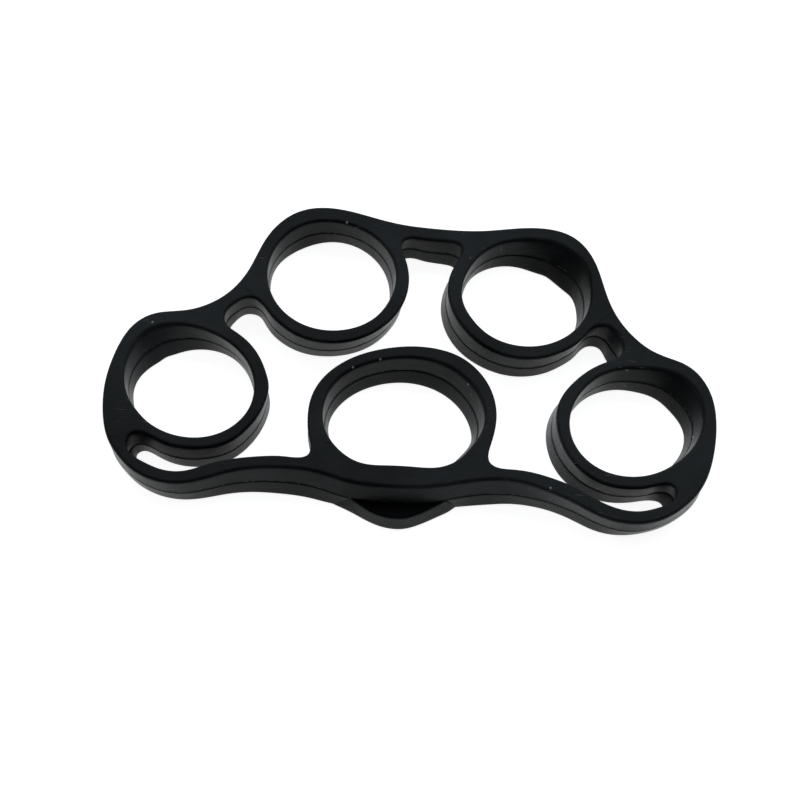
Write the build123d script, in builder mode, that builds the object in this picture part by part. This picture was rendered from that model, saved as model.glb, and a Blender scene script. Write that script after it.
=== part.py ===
"""Finger exerciser: one-piece moulded silicone-rubber hand stretcher.

Four finger rings hang inward from a wavy outer band.  A D-shaped thumb ring
stands on the palm bridge of the lower strap.  The moulding is divided into
its working regions: bands that keep their shape, necks that stretch (webs
and straps), and ring arms that flex about the line where they leave the band.

Frame: millimetres, X to the right across the fingers, Y from the palm strap
towards the finger tips, Z up.  Z = 0 is the flat underside.  The origin is
the centre of the footprint.
"""
import math
import os

from build123d import *

os.makedirs("parts", exist_ok=True)

# ---------------------------------------------------------------- dimensions
THICK = 7.5            # overall thickness of the moulding
PARTING = 3.75         # height of the mould parting line; both drafts meet here
EDGE_RADIUS = 0.6      # rounding of the top and bottom edges
LIP_HEIGHT = 3.75      # thumb-rest lip in front of the palm bridge
LIP_RADIUS = 0.4       # rounding of the lip's edges
FLEX_DEG = 18.0        # how far a ring arm bends up or down
FLEX_GAP = 0.15        # clearance on each side of a flexing root at mid height
CENTRE_GAP = 0.05      # half the clearance between the two centre webs

LEVELS = (0.0, PARTING, THICK)

# Flexing arms: the bending axis runs from root A to root B at mid height, and
# the free arc lies on the right-hand side of the direction A to B.
ARM_AXIS = {
    "A1": ((-50.40, -22.81), (-37.40, 1.19)),
    "A2": ((-31.60, 11.19), (-6.70, 25.69)),
    "A3": ((7.10, 25.89), (32.40, 10.59)),
    "A4": ((37.90, 1.29), (50.30, -23.71)),
    "AT": ((16.10, -22.31), (-16.90, -22.31)),
}

# Straight cuts across the band and the strap: a point and a direction.
CUT = {
    "C1L": ((-21.90, -28.31), (0, 1)),
    "C1R": ((22.10, -28.31), (0, 1)),
    "C2L": ((-37.90, -32.31), (0, 1)),
    "C2R": ((38.10, -31.31), (0, 1)),
    "C3L": ((-57.90, -18.31), (1, 0)),
    "C3R": ((58.10, -18.31), (1, 0)),
    "C4L": ((-41.20, 8.99), (0.73, -0.68)),
    "C4R": ((39.40, 5.69), (0.73, 0.68)),
    "C5L": ((-34.90, 11.49), (-0.68, 0.735)),
    "C5R": ((35.90, 11.09), (0.61, 0.79)),
    "C6L": ((-11.40, 30.69), (0, 1)),
    "C6R": ((11.60, 30.69), (0, 1)),
    "C7L": ((0.10 - CENTRE_GAP, 27.69), (0, 1)),
    "C7R": ((0.10 + CENTRE_GAP, 27.69), (0, 1)),
}

# Where each outline crosses a cut or a bending axis (a and b are its ends).
STATION = {
    "OUTER": {
        "C1L": (-21.90, -29.81), "C1R": (22.10, -27.81), "C2L": (-37.90, -33.31), "C2R": (38.10, -32.81),
        "C3L": (-59.90, -18.31), "C3R": (60.60, -18.31), "C4L": (-42.90, 10.19), "C5L": (-38.20, 15.09),
        "C6L": (-11.40, 33.99), "C7L": (0.10, 32.69), "C7R": (0.10, 32.69), "C6R": (11.60, 33.29),
        "C5R": (39.00, 15.69), "C4R": (44.10, 9.09),
    },
    "INNER": {
        "C1L": (-21.90, -26.81), "C1R": (22.10, -25.31), "C2L": (-37.90, -30.31), "C2R": (38.10, -29.31),
        "C4L": (-39.70, 7.69), "C5L": (-35.20, 11.79), "C7L": (0.10, 30.09), "C7R": (0.10, 30.09),
        "C5R": (36.10, 11.69), "C4R": (40.60, 6.69),
        "A1a": (-51.40, -24.31), "A1b": (-36.90, 2.19), "A2a": (-32.20, 10.59), "A2b": (-5.90, 26.19),
        "A3a": (6.10, 26.49), "A3b": (33.40, 9.89), "A4a": (37.40, 2.49), "A4b": (50.80, -25.01),
        "ATa": (17.10, -22.31), "ATb": (-17.60, -22.31),
    },
    "HOLE_1": {"A1a": (-49.70, -21.31), "A1b": (-37.90, -0.01), "C3L": (-55.90, -18.31)},
    "HOLE_2": {"A2a": (-30.90, 11.99), "A2b": (-7.50, 24.99), "C6L": (-11.40, 27.29)},
    "HOLE_3": {"A3a": (8.60, 24.99), "A3b": (32.10, 11.09), "C6R": (11.60, 26.59)},
    "HOLE_4": {"A4a": (38.40, 0.29), "A4b": (49.60, -23.31), "C3R": (55.60, -18.31)},
    "THUMB": {"ATa": (12.60, -22.31), "ATb": (-14.10, -22.31)},
}

# Thumb-rest lip: outline at the underside and at the parting height; the back
# of both outlines lies inside the palm bridge.
LIP_BASE = [(-10.50, -31.31), (-8.70, -32.51), (-7.20, -33.51), (-5.50, -34.71), (-3.70, -35.91), (-1.80, -36.61), (-0.10, -36.81), (1.50, -36.71), (3.00, -36.26), (4.90, -35.11), (6.70, -33.61), (8.40, -32.11), (10.10, -30.61)]
LIP_TOP = [(-9.80, -31.91), (-7.90, -33.21), (-6.50, -34.21), (-4.90, -35.21), (-3.30, -35.91), (-1.70, -36.31), (-0.10, -36.46), (1.40, -36.41), (2.90, -36.06), (4.60, -35.21), (6.30, -34.11), (7.90, -32.91), (9.70, -31.51)]
LIP_BACK = ((8.60, -28.81), (-8.40, -28.81))

# ---------------------------------------------------------------- outlines
# Smooth closed outlines of the moulding at three heights, counter-clockwise.
# TOP is the upper face, MID the parting line, BASE the underside; the three
# lists match point by point and share the spline parameters in PAR.

# outer edge of the band and strap
OUTER_TOP = [
    (-57.97, -26.09), (-55.43, -29.37), (-52.43, -32.25), (-49.15, -34.07), (-45.61, -34.94), (-41.98, -34.79),
    (-38.19, -33.58), (-33.74, -31.50), (-28.95, -29.92), (-24.14, -29.21), (-18.77, -29.02), (-14.27, -29.69),
    (-9.50, -30.89), (-4.66, -31.34), (1.30, -31.22), (6.67, -30.60), (12.00, -29.19), (17.33, -27.82),
    (21.89, -27.36), (25.96, -27.91), (30.59, -29.40), (35.04, -31.24), (39.11, -33.31), (42.71, -34.58),
    (46.45, -34.96), (50.05, -34.38), (53.24, -32.86), (56.03, -30.34), (58.46, -27.02), (60.05, -23.54),
    (60.95, -19.50), (61.33, -14.60), (61.16, -9.24), (60.38, -4.68), (58.88, -1.03), (56.72, 1.80),
    (54.00, 3.73), (50.78, 4.98), (47.25, 6.57), (44.16, 8.96), (41.29, 12.13), (38.87, 15.91), (36.91, 20.47),
    (34.93, 25.97), (32.86, 29.97), (30.44, 32.77), (27.60, 34.52), (24.32, 35.31), (20.61, 35.30),
    (16.16, 34.59), (10.62, 33.50), (5.24, 33.02), (-0.88, 33.00), (-6.64, 33.39), (-12.09, 34.42),
    (-17.94, 35.71), (-22.32, 36.11), (-25.87, 35.63), (-28.87, 34.30), (-31.41, 32.04), (-33.51, 28.82),
    (-35.09, 24.60), (-36.55, 19.28), (-38.33, 15.03), (-40.64, 11.70), (-43.53, 9.14), (-46.94, 7.34),
    (-50.87, 6.28), (-54.14, 5.29), (-56.69, 3.53), (-58.64, 0.87), (-59.99, -2.83), (-60.93, -7.76),
    (-61.22, -12.87), (-60.74, -17.84), (-59.61, -22.54),
]
OUTER_MID = [
    (-57.81, -25.99), (-55.36, -29.31), (-52.39, -32.19), (-49.12, -34.01), (-45.60, -34.92), (-41.95, -34.92),
    (-38.07, -33.86), (-33.54, -32.02), (-28.74, -30.76), (-24.06, -30.27), (-18.82, -30.32), (-14.61, -31.12),
    (-9.80, -32.49), (-4.69, -32.93), (1.38, -32.62), (6.94, -31.99), (12.34, -30.31), (17.52, -28.91),
    (21.89, -28.50), (25.74, -28.78), (30.50, -29.67), (35.08, -31.18), (39.20, -33.10), (42.77, -34.34),
    (46.44, -34.66), (49.89, -33.89), (52.85, -32.29), (55.56, -29.91), (57.99, -26.74), (59.37, -23.32),
    (59.98, -19.36), (60.02, -14.58), (59.55, -9.39), (58.61, -5.18), (57.23, -1.98), (55.47, 0.52),
    (53.32, 2.41), (50.33, 3.74), (46.40, 5.16), (42.84, 7.54), (39.62, 10.86), (36.94, 14.89), (34.84, 19.72),
    (32.84, 25.11), (30.94, 28.69), (28.98, 31.07), (26.84, 32.70), (24.15, 33.75), (20.71, 34.11),
    (16.35, 33.67), (10.75, 32.61), (5.27, 32.10), (-0.90, 32.17), (-6.73, 32.67), (-12.22, 33.86),
    (-18.00, 35.35), (-22.32, 35.84), (-25.80, 35.38), (-28.70, 34.04), (-31.12, 31.79), (-33.13, 28.63),
    (-34.70, 24.49), (-36.23, 19.18), (-38.09, 14.90), (-40.48, 11.56), (-43.45, 9.03), (-46.94, 7.35),
    (-50.90, 6.40), (-54.12, 5.25), (-56.43, 3.28), (-58.06, 0.57), (-59.23, -3.03), (-60.11, -7.87),
    (-60.45, -12.85), (-60.11, -17.74), (-59.17, -22.40),
]
OUTER_BASE = [
    (-57.23, -25.63), (-54.72, -28.75), (-51.80, -31.39), (-48.75, -33.07), (-45.50, -33.98), (-42.08, -34.11),
    (-38.28, -33.35), (-33.62, -31.82), (-28.72, -30.86), (-24.03, -30.66), (-18.84, -30.75), (-14.64, -31.31),
    (-9.71, -31.97), (-4.68, -31.82), (1.31, -31.41), (6.73, -30.86), (12.17, -29.75), (17.49, -28.74),
    (21.89, -28.17), (25.84, -28.45), (30.60, -29.39), (35.14, -31.05), (39.33, -32.79), (42.97, -33.34),
    (46.37, -33.01), (49.34, -32.13), (51.90, -30.85), (54.43, -28.89), (56.92, -26.10), (58.54, -23.04),
    (59.42, -19.28), (59.67, -14.57), (59.31, -9.42), (58.47, -5.22), (57.20, -1.99), (55.55, 0.62),
    (53.44, 2.70), (50.45, 4.13), (46.57, 5.46), (42.98, 7.70), (39.72, 10.94), (36.99, 14.92), (34.87, 19.72),
    (32.94, 25.14), (31.15, 28.83), (29.29, 31.44), (27.10, 33.41), (24.23, 34.73), (20.60, 35.25),
    (16.10, 34.89), (10.56, 33.85), (5.23, 33.31), (-0.87, 33.36), (-6.59, 33.78), (-11.98, 34.90),
    (-17.83, 36.42), (-22.34, 36.98), (-26.11, 36.49), (-29.29, 34.96), (-31.85, 32.43), (-33.87, 29.01),
    (-35.35, 24.68), (-36.78, 19.36), (-38.55, 15.15), (-40.85, 11.88), (-43.71, 9.41), (-47.09, 7.76),
    (-50.99, 6.76), (-54.16, 5.39), (-56.33, 3.22), (-57.79, 0.44), (-58.83, -3.14), (-59.67, -7.92),
    (-59.99, -12.85), (-59.64, -17.66), (-58.66, -22.23),
]
OUTER_PAR = [
    0.00000, 0.01238, 0.02483, 0.03607, 0.04698, 0.05786, 0.06976, 0.08442, 0.09950, 0.11404, 0.13008, 0.14370,
    0.15837, 0.17289, 0.19069, 0.20685, 0.22330, 0.23973, 0.25344, 0.26575, 0.28027, 0.29465, 0.30826, 0.31970,
    0.33094, 0.34186, 0.35244, 0.36371, 0.37599, 0.38745, 0.39980, 0.41447, 0.43050, 0.44432, 0.45612, 0.46679,
    0.47677, 0.48710, 0.49868, 0.51037, 0.52316, 0.53657, 0.55139, 0.56886, 0.58231, 0.59338, 0.60340, 0.61348,
    0.62459, 0.63803, 0.65490, 0.67104, 0.68931, 0.70654, 0.72310, 0.74099, 0.75414, 0.76485, 0.77469, 0.78487,
    0.79636, 0.80984, 0.82631, 0.84009, 0.85223, 0.86376, 0.87529, 0.88747, 0.89770, 0.90698, 0.91687, 0.92865,
    0.94366, 0.95893, 0.97386, 0.98830,
]

# edge of the one big inner opening, with the notches and both end slots
INNER_TOP = [
    (-36.95, 2.32), (-34.07, 0.08), (-31.49, -3.05), (-29.58, -6.73), (-28.54, -10.26), (-28.67, -13.82),
    (-29.69, -17.61), (-31.53, -21.19), (-33.78, -23.79), (-36.65, -25.42), (-40.14, -26.29), (-43.82, -26.35),
    (-47.34, -25.56), (-50.13, -24.32), (-52.20, -23.74), (-53.89, -24.33), (-54.69, -25.89), (-54.40, -27.79),
    (-52.98, -29.55), (-50.41, -31.09), (-47.03, -32.42), (-43.79, -32.72), (-40.77, -31.98), (-37.34, -30.27),
    (-32.92, -28.69), (-27.78, -27.52), (-22.99, -26.97), (-19.89, -26.81), (-18.07, -25.78), (-17.57, -23.82),
    (-18.11, -21.18), (-18.98, -17.01), (-19.09, -12.95), (-18.28, -9.32), (-16.63, -6.10), (-14.17, -3.31),
    (-10.94, -0.97), (-7.06, 0.83), (-2.85, 1.97), (1.36, 2.34), (5.32, 1.95), (8.76, 0.85), (11.74, -1.12),
    (14.36, -4.00), (16.40, -7.51), (17.59, -11.27), (17.84, -15.21), (17.33, -19.15), (17.09, -21.84),
    (17.71, -23.84), (19.38, -25.05), (21.87, -25.40), (25.17, -25.52), (29.56, -26.41), (34.02, -27.82),
    (38.38, -29.95), (42.09, -31.57), (45.45, -32.33), (48.73, -32.12), (51.91, -30.92), (54.10, -29.52),
    (54.95, -27.75), (54.57, -26.08), (53.20, -25.17), (51.41, -25.38), (49.32, -26.18), (46.22, -26.83),
    (42.57, -26.76), (39.22, -25.76), (36.30, -23.92), (33.85, -21.38), (32.00, -18.27), (30.73, -14.72),
    (30.17, -11.11), (30.49, -7.79), (31.70, -4.65), (33.86, -1.59), (36.78, 1.23), (39.44, 3.02),
    (41.19, 4.39), (41.89, 6.21), (41.39, 8.30), (40.03, 10.39), (38.29, 11.77), (36.39, 11.86), (34.84, 10.82),
    (33.75, 9.03), (32.21, 6.85), (29.51, 4.62), (26.19, 2.88), (22.70, 2.08), (19.15, 2.21), (15.65, 3.30),
    (12.35, 5.31), (9.50, 8.05), (7.32, 11.24), (5.87, 14.72), (5.22, 18.35), (5.41, 22.07), (6.36, 25.60),
    (6.78, 28.00), (5.91, 29.63), (4.05, 30.20), (1.41, 30.13), (-2.17, 30.23), (-4.66, 30.19), (-6.14, 29.09),
    (-6.16, 27.19), (-5.25, 24.75), (-4.06, 20.97), (-3.73, 17.03), (-4.30, 13.16), (-5.73, 9.60),
    (-7.90, 6.58), (-10.60, 4.28), (-13.74, 2.70), (-17.28, 1.94), (-20.93, 2.10), (-24.42, 3.20),
    (-27.63, 5.19), (-30.43, 7.79), (-32.49, 10.26), (-34.39, 11.54), (-36.42, 11.45), (-38.22, 10.14),
    (-39.67, 8.19), (-40.07, 6.00), (-39.12, 3.99),
]
INNER_MID = [
    (-37.16, 2.01), (-34.40, -0.25), (-31.92, -3.34), (-30.03, -6.92), (-28.87, -10.31), (-28.78, -13.81),
    (-29.63, -17.64), (-31.50, -21.21), (-33.75, -23.83), (-36.59, -25.57), (-40.11, -26.60), (-43.86, -26.76),
    (-47.48, -25.97), (-50.26, -24.66), (-52.16, -24.25), (-53.45, -24.82), (-54.18, -26.02), (-54.29, -27.80),
    (-53.27, -29.93), (-50.79, -31.84), (-47.29, -33.53), (-43.69, -34.08), (-40.23, -33.29), (-36.79, -31.48),
    (-32.58, -29.88), (-27.57, -28.68), (-22.94, -28.12), (-19.64, -27.85), (-17.57, -26.25), (-17.33, -23.85),
    (-18.05, -21.17), (-18.89, -17.00), (-18.92, -12.96), (-18.04, -9.41), (-16.35, -6.30), (-13.88, -3.64),
    (-10.67, -1.44), (-6.84, 0.20), (-2.71, 1.15), (1.36, 1.32), (5.08, 0.75), (8.14, -0.47), (10.66, -2.35),
    (12.98, -5.01), (14.86, -8.19), (16.05, -11.57), (16.49, -15.15), (16.16, -18.98), (15.91, -21.94),
    (16.73, -24.53), (18.98, -26.03), (21.83, -26.27), (25.06, -26.40), (29.35, -27.29), (33.66, -28.67),
    (38.01, -30.70), (41.87, -32.20), (45.41, -32.77), (48.76, -32.30), (51.89, -30.89), (53.86, -29.34),
    (54.47, -27.72), (54.24, -26.22), (53.12, -25.06), (51.27, -24.93), (49.16, -25.72), (46.19, -26.51),
    (42.59, -26.60), (39.20, -25.81), (36.11, -24.15), (33.36, -21.74), (31.08, -18.70), (29.46, -15.05),
    (28.86, -11.16), (29.42, -7.54), (31.02, -4.29), (33.56, -1.34), (36.76, 1.24), (39.54, 2.86),
    (40.81, 4.56), (40.68, 6.21), (39.94, 7.65), (38.77, 9.29), (37.76, 10.62), (36.31, 11.57), (34.23, 11.29),
    (32.70, 9.64), (31.53, 7.47), (29.13, 5.17), (26.05, 3.22), (22.69, 2.18), (19.14, 2.14), (15.52, 3.01),
    (11.95, 4.80), (8.81, 7.46), (6.42, 10.75), (4.86, 14.42), (4.24, 18.28), (4.69, 22.19), (5.84, 25.74),
    (5.98, 27.83), (5.29, 28.89), (3.95, 29.50), (1.43, 29.64), (-2.19, 29.88), (-4.75, 30.19), (-6.84, 29.27),
    (-7.40, 26.92), (-6.56, 24.25), (-5.36, 20.71), (-4.89, 17.06), (-5.26, 13.42), (-6.47, 10.00),
    (-8.47, 7.10), (-11.03, 4.92), (-13.98, 3.37), (-17.32, 2.47), (-20.88, 2.41), (-24.40, 3.24),
    (-27.76, 5.02), (-30.61, 7.62), (-32.51, 10.25), (-34.37, 11.65), (-36.45, 11.56), (-38.25, 10.18),
    (-39.65, 8.19), (-40.06, 5.99), (-39.24, 3.87),
]
INNER_BASE = [
    (-36.68, 2.67), (-33.85, 0.31), (-31.35, -2.95), (-29.56, -6.72), (-28.68, -10.27), (-28.94, -13.78),
    (-30.02, -17.48), (-31.84, -20.98), (-34.02, -23.49), (-36.79, -25.08), (-40.19, -25.98), (-43.78, -26.03),
    (-47.19, -25.15), (-49.95, -23.97), (-51.92, -23.82), (-53.09, -24.71), (-53.34, -26.01), (-53.04, -27.30),
    (-52.13, -28.70), (-49.98, -30.26), (-46.85, -31.76), (-43.79, -32.30), (-40.85, -31.77), (-37.46, -29.99),
    (-33.07, -28.16), (-27.90, -26.81), (-23.04, -26.15), (-20.16, -26.00), (-18.61, -25.28), (-18.11, -23.72),
    (-18.51, -21.26), (-19.47, -17.07), (-19.72, -12.88), (-18.99, -9.06), (-17.32, -5.63), (-14.74, -2.69),
    (-11.34, -0.30), (-7.29, 1.45), (-2.94, 2.42), (1.35, 2.53), (5.28, 1.80), (8.48, 0.32), (11.04, -1.90),
    (13.22, -4.82), (14.87, -8.17), (15.75, -11.61), (15.82, -15.12), (15.34, -18.92), (15.50, -21.92),
    (16.94, -23.96), (19.31, -24.60), (21.93, -24.29), (25.28, -24.44), (29.77, -25.56), (34.25, -27.25),
    (38.64, -29.41), (42.39, -30.58), (45.54, -30.69), (48.21, -29.94), (50.73, -28.68), (52.21, -27.94),
    (53.04, -27.23), (53.44, -25.94), (52.71, -24.43), (50.92, -23.81), (48.75, -24.32), (46.04, -25.25),
    (42.67, -25.83), (39.23, -25.63), (35.85, -24.41), (32.74, -22.18), (30.23, -19.08), (28.51, -15.28),
    (27.70, -11.18), (28.08, -7.22), (29.68, -3.59), (32.36, -0.32), (35.80, 2.43), (38.55, 4.11),
    (39.57, 5.26), (39.50, 6.28), (38.93, 7.32), (38.23, 8.85), (37.44, 10.62), (35.86, 11.74), (33.80, 11.52),
    (32.23, 10.03), (30.96, 7.97), (28.75, 5.71), (25.86, 3.70), (22.64, 2.53), (19.14, 2.28), (15.49, 3.00),
    (11.83, 4.66), (8.46, 7.19), (5.78, 10.41), (3.96, 14.16), (3.14, 18.22), (3.41, 22.40), (4.46, 26.00),
    (5.05, 27.71), (4.87, 28.78), (3.76, 29.40), (1.40, 29.63), (-2.20, 29.96), (-4.95, 30.30), (-6.92, 29.23),
    (-7.31, 27.01), (-6.54, 24.30), (-5.57, 20.67), (-5.35, 17.08), (-5.85, 13.58), (-7.03, 10.30),
    (-8.84, 7.44), (-11.24, 5.24), (-14.13, 3.83), (-17.38, 3.18), (-20.75, 3.20), (-24.12, 3.89),
    (-27.45, 5.45), (-30.41, 7.82), (-32.48, 10.27), (-34.37, 11.54), (-36.33, 11.34), (-37.96, 9.93),
    (-39.18, 8.03), (-39.47, 6.09), (-38.66, 4.31),
]
INNER_PAR = [
    0.00000, 0.00878, 0.01853, 0.02849, 0.03735, 0.04592, 0.05536, 0.06503, 0.07330, 0.08126, 0.08992, 0.09875,
    0.10743, 0.11476, 0.11996, 0.12437, 0.12868, 0.13335, 0.13882, 0.14602, 0.15476, 0.16260, 0.17008, 0.17928,
    0.19057, 0.20322, 0.21480, 0.22226, 0.22740, 0.23235, 0.23883, 0.24906, 0.25883, 0.26776, 0.27646, 0.28541,
    0.29499, 0.30527, 0.31575, 0.32591, 0.33547, 0.34416, 0.35274, 0.36210, 0.37186, 0.38136, 0.39085, 0.40038,
    0.40687, 0.41197, 0.41703, 0.42309, 0.43100, 0.44177, 0.45299, 0.46464, 0.47435, 0.48265, 0.49056, 0.49873,
    0.50502, 0.50983, 0.51406, 0.51816, 0.52252, 0.52791, 0.53552, 0.54430, 0.55270, 0.56101, 0.56951, 0.57820,
    0.58726, 0.59604, 0.60408, 0.61217, 0.62117, 0.63092, 0.63863, 0.64399, 0.64877, 0.65399, 0.65997, 0.66537,
    0.67003, 0.67457, 0.67962, 0.68605, 0.69447, 0.70349, 0.71209, 0.72063, 0.72945, 0.73875, 0.74824, 0.75753,
    0.76660, 0.77547, 0.78442, 0.79319, 0.79908, 0.80370, 0.80843, 0.81477, 0.82336, 0.82938, 0.83400, 0.83865,
    0.84491, 0.85443, 0.86395, 0.87334, 0.88258, 0.89153, 0.90005, 0.90849, 0.91720, 0.92600, 0.93480, 0.94388,
    0.95306, 0.96079, 0.96636, 0.97134, 0.97671, 0.98257, 0.98800, 0.99341,
]

# finger hole 1 (far left)
HOLE_1_TOP = [
    (-41.20, 1.78), (-44.27, 2.86), (-47.52, 3.40), (-50.58, 3.28), (-53.19, 2.47), (-55.27, 0.98),
    (-56.80, -1.18), (-57.78, -3.98), (-58.20, -7.22), (-58.01, -10.44), (-57.23, -13.56), (-55.85, -16.49),
    (-53.87, -19.09), (-51.39, -21.26), (-48.51, -22.85), (-45.39, -23.80), (-42.20, -24.06), (-39.15, -23.61),
    (-36.43, -22.44), (-34.11, -20.61), (-32.28, -18.21), (-31.08, -15.46), (-30.65, -12.54), (-30.99, -9.54),
    (-32.09, -6.54), (-33.83, -3.77), (-35.99, -1.48), (-38.45, 0.34),
]
HOLE_1_MID = [
    (-41.20, 1.77), (-44.35, 2.53), (-47.57, 2.52), (-50.32, 1.81), (-52.35, 0.79), (-53.84, -0.44),
    (-55.12, -2.04), (-56.28, -4.33), (-57.10, -7.26), (-57.19, -10.32), (-56.55, -13.31), (-55.28, -16.14),
    (-53.45, -18.70), (-51.14, -20.90), (-48.41, -22.61), (-45.37, -23.70), (-42.20, -24.07), (-39.14, -23.64),
    (-36.44, -22.43), (-34.21, -20.51), (-32.53, -18.06), (-31.51, -15.34), (-31.18, -12.53), (-31.51, -9.66),
    (-32.44, -6.71), (-33.96, -3.87), (-35.96, -1.44), (-38.38, 0.45),
]
HOLE_1_BASE = [
    (-41.04, 2.12), (-44.29, 2.68), (-47.54, 2.56), (-50.30, 1.86), (-52.28, 0.74), (-53.60, -0.65),
    (-54.62, -2.31), (-55.62, -4.51), (-56.42, -7.29), (-56.62, -10.24), (-56.13, -13.17), (-54.97, -15.96),
    (-53.20, -18.47), (-50.90, -20.57), (-48.20, -22.13), (-45.25, -23.05), (-42.22, -23.29), (-39.37, -22.85),
    (-36.84, -21.76), (-34.68, -20.04), (-32.96, -17.80), (-31.80, -15.25), (-31.26, -12.52), (-31.39, -9.62),
    (-32.17, -6.56), (-33.60, -3.58), (-35.61, -1.04), (-38.11, 0.87),
]
HOLE_1_PAR = [
    0.00000, 0.03747, 0.07557, 0.11101, 0.14257, 0.17228, 0.20286, 0.23715, 0.27486, 0.31220, 0.34924, 0.38665,
    0.42446, 0.46252, 0.50048, 0.53818, 0.57520, 0.61077, 0.64500, 0.67923, 0.71414, 0.74878, 0.78288, 0.81784,
    0.85476, 0.89250, 0.92882, 0.96410,
]

# finger hole 2
HOLE_2_TOP = [
    (-31.75, 13.59), (-30.07, 10.76), (-27.87, 8.36), (-25.30, 6.54), (-22.48, 5.36), (-19.50, 4.86),
    (-16.47, 5.03), (-13.59, 5.87), (-11.02, 7.36), (-8.84, 9.49), (-7.17, 12.14), (-6.11, 15.12),
    (-5.78, 18.22), (-6.18, 21.34), (-7.29, 24.35), (-9.06, 27.09), (-11.38, 29.41), (-14.05, 31.17),
    (-16.92, 32.35), (-19.89, 32.96), (-22.88, 32.96), (-25.70, 32.29), (-28.17, 30.92), (-30.23, 28.89),
    (-31.80, 26.28), (-32.79, 23.27), (-33.13, 20.01), (-32.79, 16.72),
]
HOLE_2_MID = [
    (-31.69, 13.62), (-30.10, 10.74), (-27.97, 8.25), (-25.43, 6.31), (-22.57, 5.05), (-19.52, 4.53),
    (-16.43, 4.77), (-13.56, 5.77), (-11.10, 7.46), (-9.17, 9.74), (-7.81, 12.44), (-7.07, 15.33),
    (-6.92, 18.21), (-7.27, 21.07), (-8.19, 23.90), (-9.69, 26.59), (-11.74, 28.96), (-14.27, 30.76),
    (-17.05, 31.94), (-19.94, 32.52), (-22.82, 32.49), (-25.51, 31.80), (-27.83, 30.47), (-29.79, 28.54),
    (-31.40, 26.10), (-32.50, 23.21), (-32.93, 20.01), (-32.65, 16.75),
]
HOLE_2_BASE = [
    (-31.51, 13.70), (-29.89, 10.90), (-27.73, 8.52), (-25.19, 6.74), (-22.41, 5.65), (-19.48, 5.29),
    (-16.58, 5.63), (-13.93, 6.63), (-11.68, 8.21), (-9.88, 10.31), (-8.55, 12.80), (-7.74, 15.48),
    (-7.50, 18.20), (-7.79, 20.94), (-8.60, 23.70), (-9.95, 26.40), (-11.84, 28.86), (-14.23, 30.86),
    (-16.96, 32.25), (-19.90, 32.92), (-22.86, 32.86), (-25.62, 32.10), (-28.00, 30.69), (-29.99, 28.70),
    (-31.55, 26.16), (-32.52, 23.21), (-32.85, 20.01), (-32.51, 16.78),
]
HOLE_2_PAR = [
    0.00000, 0.03776, 0.07509, 0.11123, 0.14625, 0.18100, 0.21577, 0.25016, 0.28433, 0.31922, 0.35520, 0.39145,
    0.42729, 0.46333, 0.50016, 0.53760, 0.57514, 0.61188, 0.64746, 0.68223, 0.71646, 0.74974, 0.78220, 0.81542,
    0.85032, 0.88669, 0.92431, 0.96225,
]

# finger hole 3
HOLE_3_TOP = [
    (7.54, 19.88), (7.56, 16.75), (8.27, 13.95), (9.83, 11.34), (12.01, 8.81), (14.37, 6.89), (17.04, 5.63),
    (20.01, 5.01), (23.07, 5.07), (26.01, 5.82), (28.66, 7.24), (30.92, 9.31), (32.69, 11.91), (33.83, 14.87),
    (34.26, 18.11), (34.03, 21.70), (33.31, 24.90), (31.92, 27.43), (29.77, 29.60), (27.19, 31.35),
    (24.54, 32.29), (21.69, 32.46), (18.34, 32.13), (15.22, 31.22), (12.71, 29.81), (10.77, 27.98),
    (9.27, 25.73), (8.16, 23.02),
]
HOLE_3_MID = [
    (6.91, 19.93), (6.71, 16.64), (7.33, 13.56), (8.95, 10.69), (11.24, 8.03), (13.84, 6.06), (16.79, 4.88),
    (19.96, 4.47), (23.10, 4.84), (25.95, 5.93), (28.36, 7.64), (30.29, 9.85), (31.73, 12.42), (32.57, 15.19),
    (32.74, 18.14), (32.19, 21.44), (31.12, 24.08), (29.81, 25.81), (28.01, 27.47), (25.94, 28.94),
    (24.07, 29.96), (21.73, 30.60), (18.57, 30.85), (15.52, 30.48), (12.97, 29.45), (10.90, 27.86),
    (9.19, 25.77), (7.81, 23.12),
]
HOLE_3_BASE = [
    (6.94, 19.94), (7.02, 16.68), (7.86, 13.79), (9.58, 11.16), (11.87, 8.68), (14.39, 6.96), (17.16, 6.03),
    (20.07, 5.80), (22.89, 6.26), (25.40, 7.32), (27.45, 8.90), (29.07, 10.89), (30.26, 13.18), (30.92, 15.61),
    (31.04, 18.20), (30.66, 21.21), (29.99, 23.64), (29.06, 25.28), (27.55, 26.93), (25.72, 28.50),
    (23.97, 29.66), (21.71, 30.29), (18.61, 30.54), (15.52, 30.41), (12.79, 29.65), (10.51, 28.17),
    (8.74, 26.00), (7.53, 23.21),
]
HOLE_3_PAR = [
    0.00000, 0.03648, 0.07012, 0.10561, 0.14451, 0.17997, 0.21441, 0.24979, 0.28549, 0.32077, 0.35586, 0.39162,
    0.42832, 0.46522, 0.50333, 0.54525, 0.58350, 0.61722, 0.65281, 0.68920, 0.72200, 0.75532, 0.79448, 0.83240,
    0.86588, 0.89702, 0.92856, 0.96271,
]

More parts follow.
